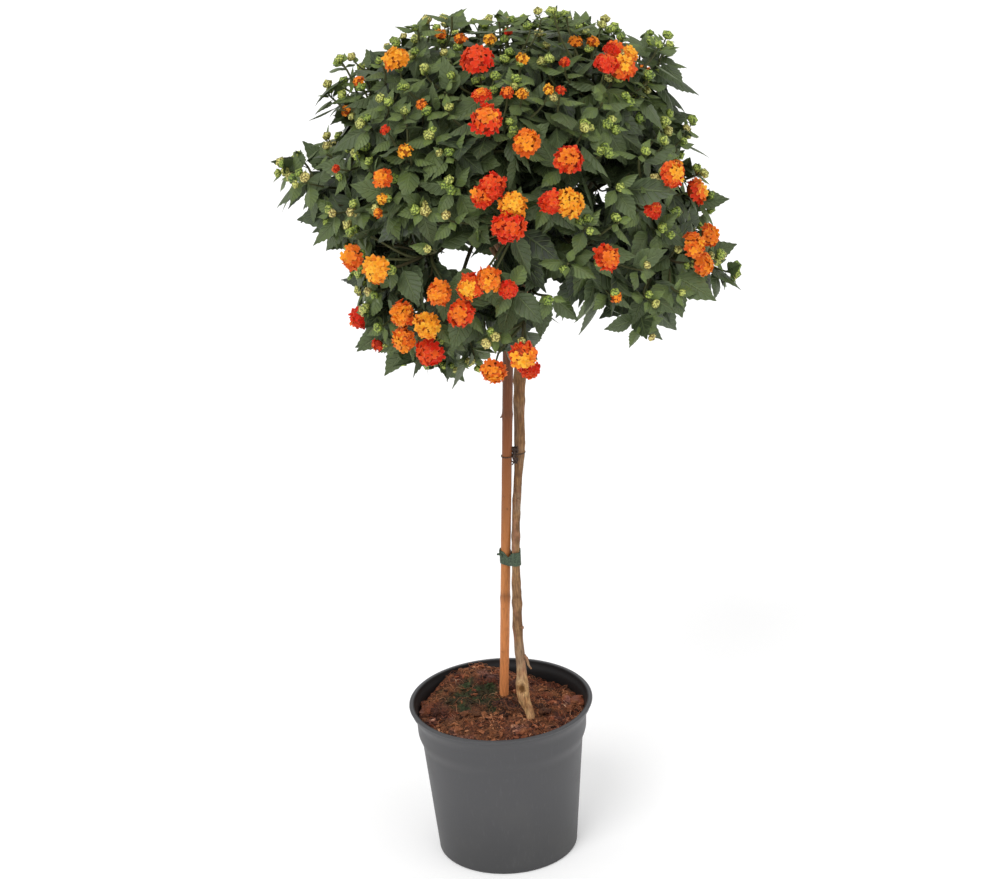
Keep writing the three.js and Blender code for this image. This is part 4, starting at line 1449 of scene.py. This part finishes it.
def leaf_place(point, stem, side, lift, sag, length, chance):
    """Where one leaf goes: out to the side of the stem, rising with it or hanging."""
    hang = (sag + chance.gauss(0, 0.14)) * (1 - 0.45 * max(0, stem.z))
    ahead = (side + stem * lift - UP * hang).normalized()
    askew = Vector((chance.gauss(0, 0.20), chance.gauss(0, 0.20), chance.gauss(0, 0.12)))
    return aimed(point, ahead, stem * 0.8 + UP * 0.55 + askew, length), ahead


def along_leaf(point, ahead, length, shares):
    """Places along the blade of a leaf."""
    return [point + ahead * (length * (LEAF_STALK + share)) for share in shares]


def clear_of_gaps(point, ahead, length):
    """Whether a leaf leaves the light gaps and the space under the crown free."""
    spots = along_leaf(point, ahead, length, (0.2, 0.5, 0.8, 1.0))
    if any(in_light_gap(spot) for spot in spots):
        return False
    tip = spots[-1]
    azimuth = math.degrees(math.atan2(tip.y, tip.x - CROWN["x"]))
    return tip.z > lowest(azimuth) - LEAVES_BELOW


def in_a_bloom(point, ahead, length, blooms):
    """Whether a leaf runs into a flower head."""
    spots = along_leaf(point, ahead, length, (0.15, 0.30, 0.45, 0.60, 0.75, 0.90, 1.0))
    return any((spot - middle).length < radius for spot in spots for middle, radius in blooms)


def leafy(path, skip, blooms, chance, scale=1):
    """The leaves of one stem, from its tip downwards."""
    leaves = []
    turn = chance.random() * math.tau
    near = [bloom for bloom in blooms if (bloom[0] - path.at(1)).length < NEAR_BLOOM]
    for number, (below, length, lift, sag, young) in enumerate(LEAF_PAIRS):
        share = 1 - below / path.length
        if share < 0.12:
            break
        if number < skip:
            continue
        point, stem = path.at(share), path.way(share)
        level = stem.cross(UP).normalized()
        level.rotate(Matrix.Rotation(turn + number * math.pi / 2 + chance.gauss(0, 0.15), 3, stem))
        for side in (level, -level):
            size = length * scale * chance.uniform(0.80, 1.12)
            place, ahead = leaf_place(point, stem, side, lift, sag, size, chance)
            if not clear_of_gaps(point, ahead, size):
                continue
            kind = "young" if number < 2 else chance.choice(OLD_LEAVES)
            youth = max(0, young + chance.gauss(0, 0.06))
            shade = chance.random()
            if not in_a_bloom(point, ahead, size, near):
                leaves.append(copy_of(MASTERS[kind], place, youth=youth, shade=shade))
    return leaves


def bud_clusters(path, count, chance):
    """Bud clusters on their stalks round a tip."""
    parts = []
    turn = chance.random() * math.tau
    for i in range(count):
        share = 1 - chance.uniform(0.003, 0.012) / path.length
        root, stem = path.at(share), path.way(share)
        side = stem.orthogonal().normalized()
        side.rotate(Matrix.Rotation(turn + i * 2.4, 3, stem))
        way = (stem * chance.uniform(0.8, 1.3) + side * 0.62 + UP * 0.2).normalized()
        end = root + way * chance.uniform(0.008, 0.016)
        if in_light_gap(end):
            continue
        stalk = arched(root, root + stem * 0.006, end - way * 0.006, end)
        parts.append(along(MASTERS["stalk"], stalk, taper(0.0008, 0), age=0.0))
        turn_up = UP.rotation_difference(way + stem * 0.5).to_matrix().to_4x4()
        place = Matrix.Translation(end) @ turn_up @ Matrix.Scale(chance.uniform(*BUD_SIZES), 4)
        parts.append(copy_of(MASTERS["bud"], place, shade=chance.random()))
    return parts


def bloom_on(path, diameter):
    """The middle of the flower head on the end of a stem, and how near to it no leaf comes."""
    return path.at(1) + path.way(1) * (HEAD_STALK * diameter / HEAD_SIZE), diameter * 0.5 + BLOOM_ROOM


def grow_crown():
    """All the shoots with their twigs, leaves, buds and flower heads."""
    chance = random.Random(SEEDS["crown"])
    parents = [shoot_path(limb, azimuth, height, reach) for limb, azimuth, height, _, reach, _ in SHOOTS]
    grown = [[] for _ in SHOOTS]
    heads = []

    def twig_bloom(azimuth, height, diameter):
        return bloom_on(side_path(parents, azimuth, height, TIP_INSET)[0], diameter)

    def grow(number, path, kind, skip, scale=1):
        """Adds a leafy stem to a shoot."""
        foot, loss, age = STEMS[kind]
        grown[number].append(along(MASTERS["stem"], path, taper(foot, loss), age=age))
        grown[number].extend(leafy(path, skip, blooms, chance, scale))

    def flower(base, out, diameter, kind):
        heads.append((f"flower_head_{len(heads) + 1:02d}", base, out, diameter, kind))

    blooms = [bloom_on(path, shoot[3]) for path, shoot in zip(parents, SHOOTS) if shoot[3]]
    blooms += [twig_bloom(azimuth, height, diameter) for azimuth, height, diameter, _ in FRONT_HEADS]
    for number, (path, (_, _, _, diameter, _, kind)) in enumerate(zip(parents, SHOOTS)):
        grow(number, path, "shoot", 1 if diameter else 0)
        grown[number] += bud_clusters(path, 2 if diameter else 4, chance)
        if diameter:
            flower(path.at(1) + path.way(1) * HEAD_LIFT, path.way(1), diameter, kind)
    cad_heads = len(heads)
    tips = [(azimuth, height, 0, diameter, kind) for azimuth, height, diameter, kind in FRONT_HEADS]
    tips += [(azimuth, height, reach, 0, None) for azimuth, height, reach in OUTER_TIPS]
    taken = []
    for _, azimuth, height, _, reach, _ in SHOOTS:
        taken.append(polar(azimuth, plain_radius(height) + reach, height))
    for azimuth, height, reach, _, _ in tips:
        taken.append(polar(azimuth, crown_radius(azimuth, height) + reach, height))
    for azimuth, height in fill_tips(taken, TRIED_TIPS, TIP_SPACING, 0, chance):
        at_back = BACK[0] < azimuth < BACK[1] and height < BLOOM_LIMIT
        in_bloom = chance.random() < (BACK_BLOOMS if at_back else 0)
        diameter = chance.uniform(*BACK_DIAMETERS) if in_bloom else 0
        if in_bloom:
            blooms.append(twig_bloom(azimuth, height, diameter))
        tips.append((azimuth, height, 0, diameter, chance.choice(BACK_KINDS)))
    for azimuth, height, reach, diameter, kind in tips:
        path, number = side_path(parents, azimuth, height, TIP_INSET - reach)
        if not diameter and in_the_way(path):
            continue
        grow(number, path, "twig", 1 if diameter else 0)
        place = "flowering" if diameter else "on top" if height > DENSE_ABOVE else "elsewhere"
        grown[number] += bud_clusters(path, chance.choice(BUD_COUNTS[place]), chance)
        if diameter:
            flower(path.at(1), path.way(1), diameter, kind)
    for count, spacing, inset, low in INNER_LAYERS:
        for azimuth, height in fill_tips([], count, spacing, inset, chance):
            path, number = side_path(parents, azimuth, height, inset)
            if height >= low and not in_the_way(path):
                grow(number, path, "inner twig", 2)
    for azimuth, height, reach in SPRIGS:
        path, number = side_path(parents, azimuth, height, TIP_INSET - reach)
        grow(number, path, "sprig", 0, SPRIG_LEAVES)
        grown[number] += bud_clusters(path, 1, chance)
    for number, parts in enumerate(grown):
        name = f"shoot_{number + 1:02d}"
        finished(join(parts, name + "_grown"), None, name)
    for number, (name, base, out, diameter, kind) in enumerate(heads):
        piece = flower_head(name + "_florets", base, out, diameter, kind, chance)
        finished(piece, None, name if number < cad_heads else None)


def limb_radius(share):
    """A limb's radius by the share of its length: a joint halfway, and a knob where the shoots fork off."""
    return 0.0044 - 0.0010 * share + 0.0028 * bell(share, 1, 0.08) + 0.0006 * bell(share, 0.5, 0.03)


def grow_limbs():
    """The limbs from the trunk's pruned head to the forks where the shoots start."""
    for number, (azimuth, distance, height) in enumerate(LIMBS):
        fork = polar(azimuth, distance, height)
        tries = []
        for share, drop in LIMB_BENDS:
            middle = TRUNK_HEAD.lerp(fork, share) - UP * drop
            start_point = TRUNK_HEAD + (middle - TRUNK_HEAD).normalized() * (KNOB_RADIUS - 0.002)
            tries.append(flowing([start_point, middle, fork], 10))
        path = min(tries, key=lambda way: sum(in_light_gap(point, 0.9) for point in way.points))
        beyond = Path([*path.points, fork + path.way(1) * 0.004])
        master = stick_master("limb", 24, 12)
        limb = along(master, beyond, limb_radius)
        bpy.data.objects.remove(master)
        roughen(limb, lambda p: noise.noise_vector(Vector((p.x * 150, p.y * 150, p.z * 90))) * 0.0009)
        name = f"limb_{number + 1}"
        limb.name = name + "_bark"
        smooth(limb, 60)
        finished(limb, "bark", name)


# ---- 7. Studio -----------------------------------------------------------------------------------------

def camera():
    """A long lens, a little above the crown, looking down at the plant."""
    bpy.ops.object.camera_add(location=CAMERA["place"])
    view = bpy.context.object
    yaw, pitch, roll = CAMERA["yaw"], CAMERA["pitch"], CAMERA["roll"]
    ahead = Vector((math.sin(yaw) * math.cos(pitch), math.cos(yaw) * math.cos(pitch), -math.sin(pitch)))
    level = Vector((math.cos(yaw), -math.sin(yaw), 0))
    over = level.cross(ahead)
    right = level * math.cos(roll) - over * math.sin(roll)
    top = over * math.cos(roll) + level * math.sin(roll)
    view.rotation_euler = Matrix((right, top, -ahead)).transposed().to_euler()
    view.data.sensor_width = SENSOR
    view.data.lens = FOCAL_PIXELS / IMAGE_WIDTH * SENSOR
    bpy.context.scene.camera = view


def lamp(turn, tilt, spread, power):
    """A wide soft light from far away: how far it is turned and tilted, how soft it is, and its power."""
    bpy.ops.object.light_add(type="SUN", rotation=(math.radians(tilt), 0, math.radians(turn)))
    light = bpy.context.object
    light.data.angle = math.radians(spread)
    light.data.energy = power


def studio():
    """White paper under the plant, an evenly white world and two soft lamps."""
    floor = start("plane", "floor", size=60, location=(0, 0, -0.0002))
    paper = Finish("paper", Roughness=0.9, Base_Color=(0.96, 0.96, 0.96, 1), Specular_IOR_Level=0.1,
                   Emission_Color=(1, 1, 1, 1), Emission_Strength=0.10)
    paper.on(floor)
    world = bpy.data.worlds.new("studio")
    world.use_nodes = True
    world.node_tree.nodes["Background"].inputs["Color"].default_value = (1, 1, 1, 1)
    world.node_tree.nodes["Background"].inputs["Strength"].default_value = 0.8
    bpy.context.scene.world = world
    lamp(turn=-28, tilt=42, spread=30, power=1.1)
    lamp(turn=45, tilt=55, spread=60, power=0.4)
    bpy.context.scene.view_settings.view_transform = "Standard"


camera()
pot()
potting_mix()
trunk()
cane()
green_band()
wire_tie()
grow_limbs()
grow_crown()
for master in MASTERS.values():
    bpy.data.objects.remove(master)
studio()
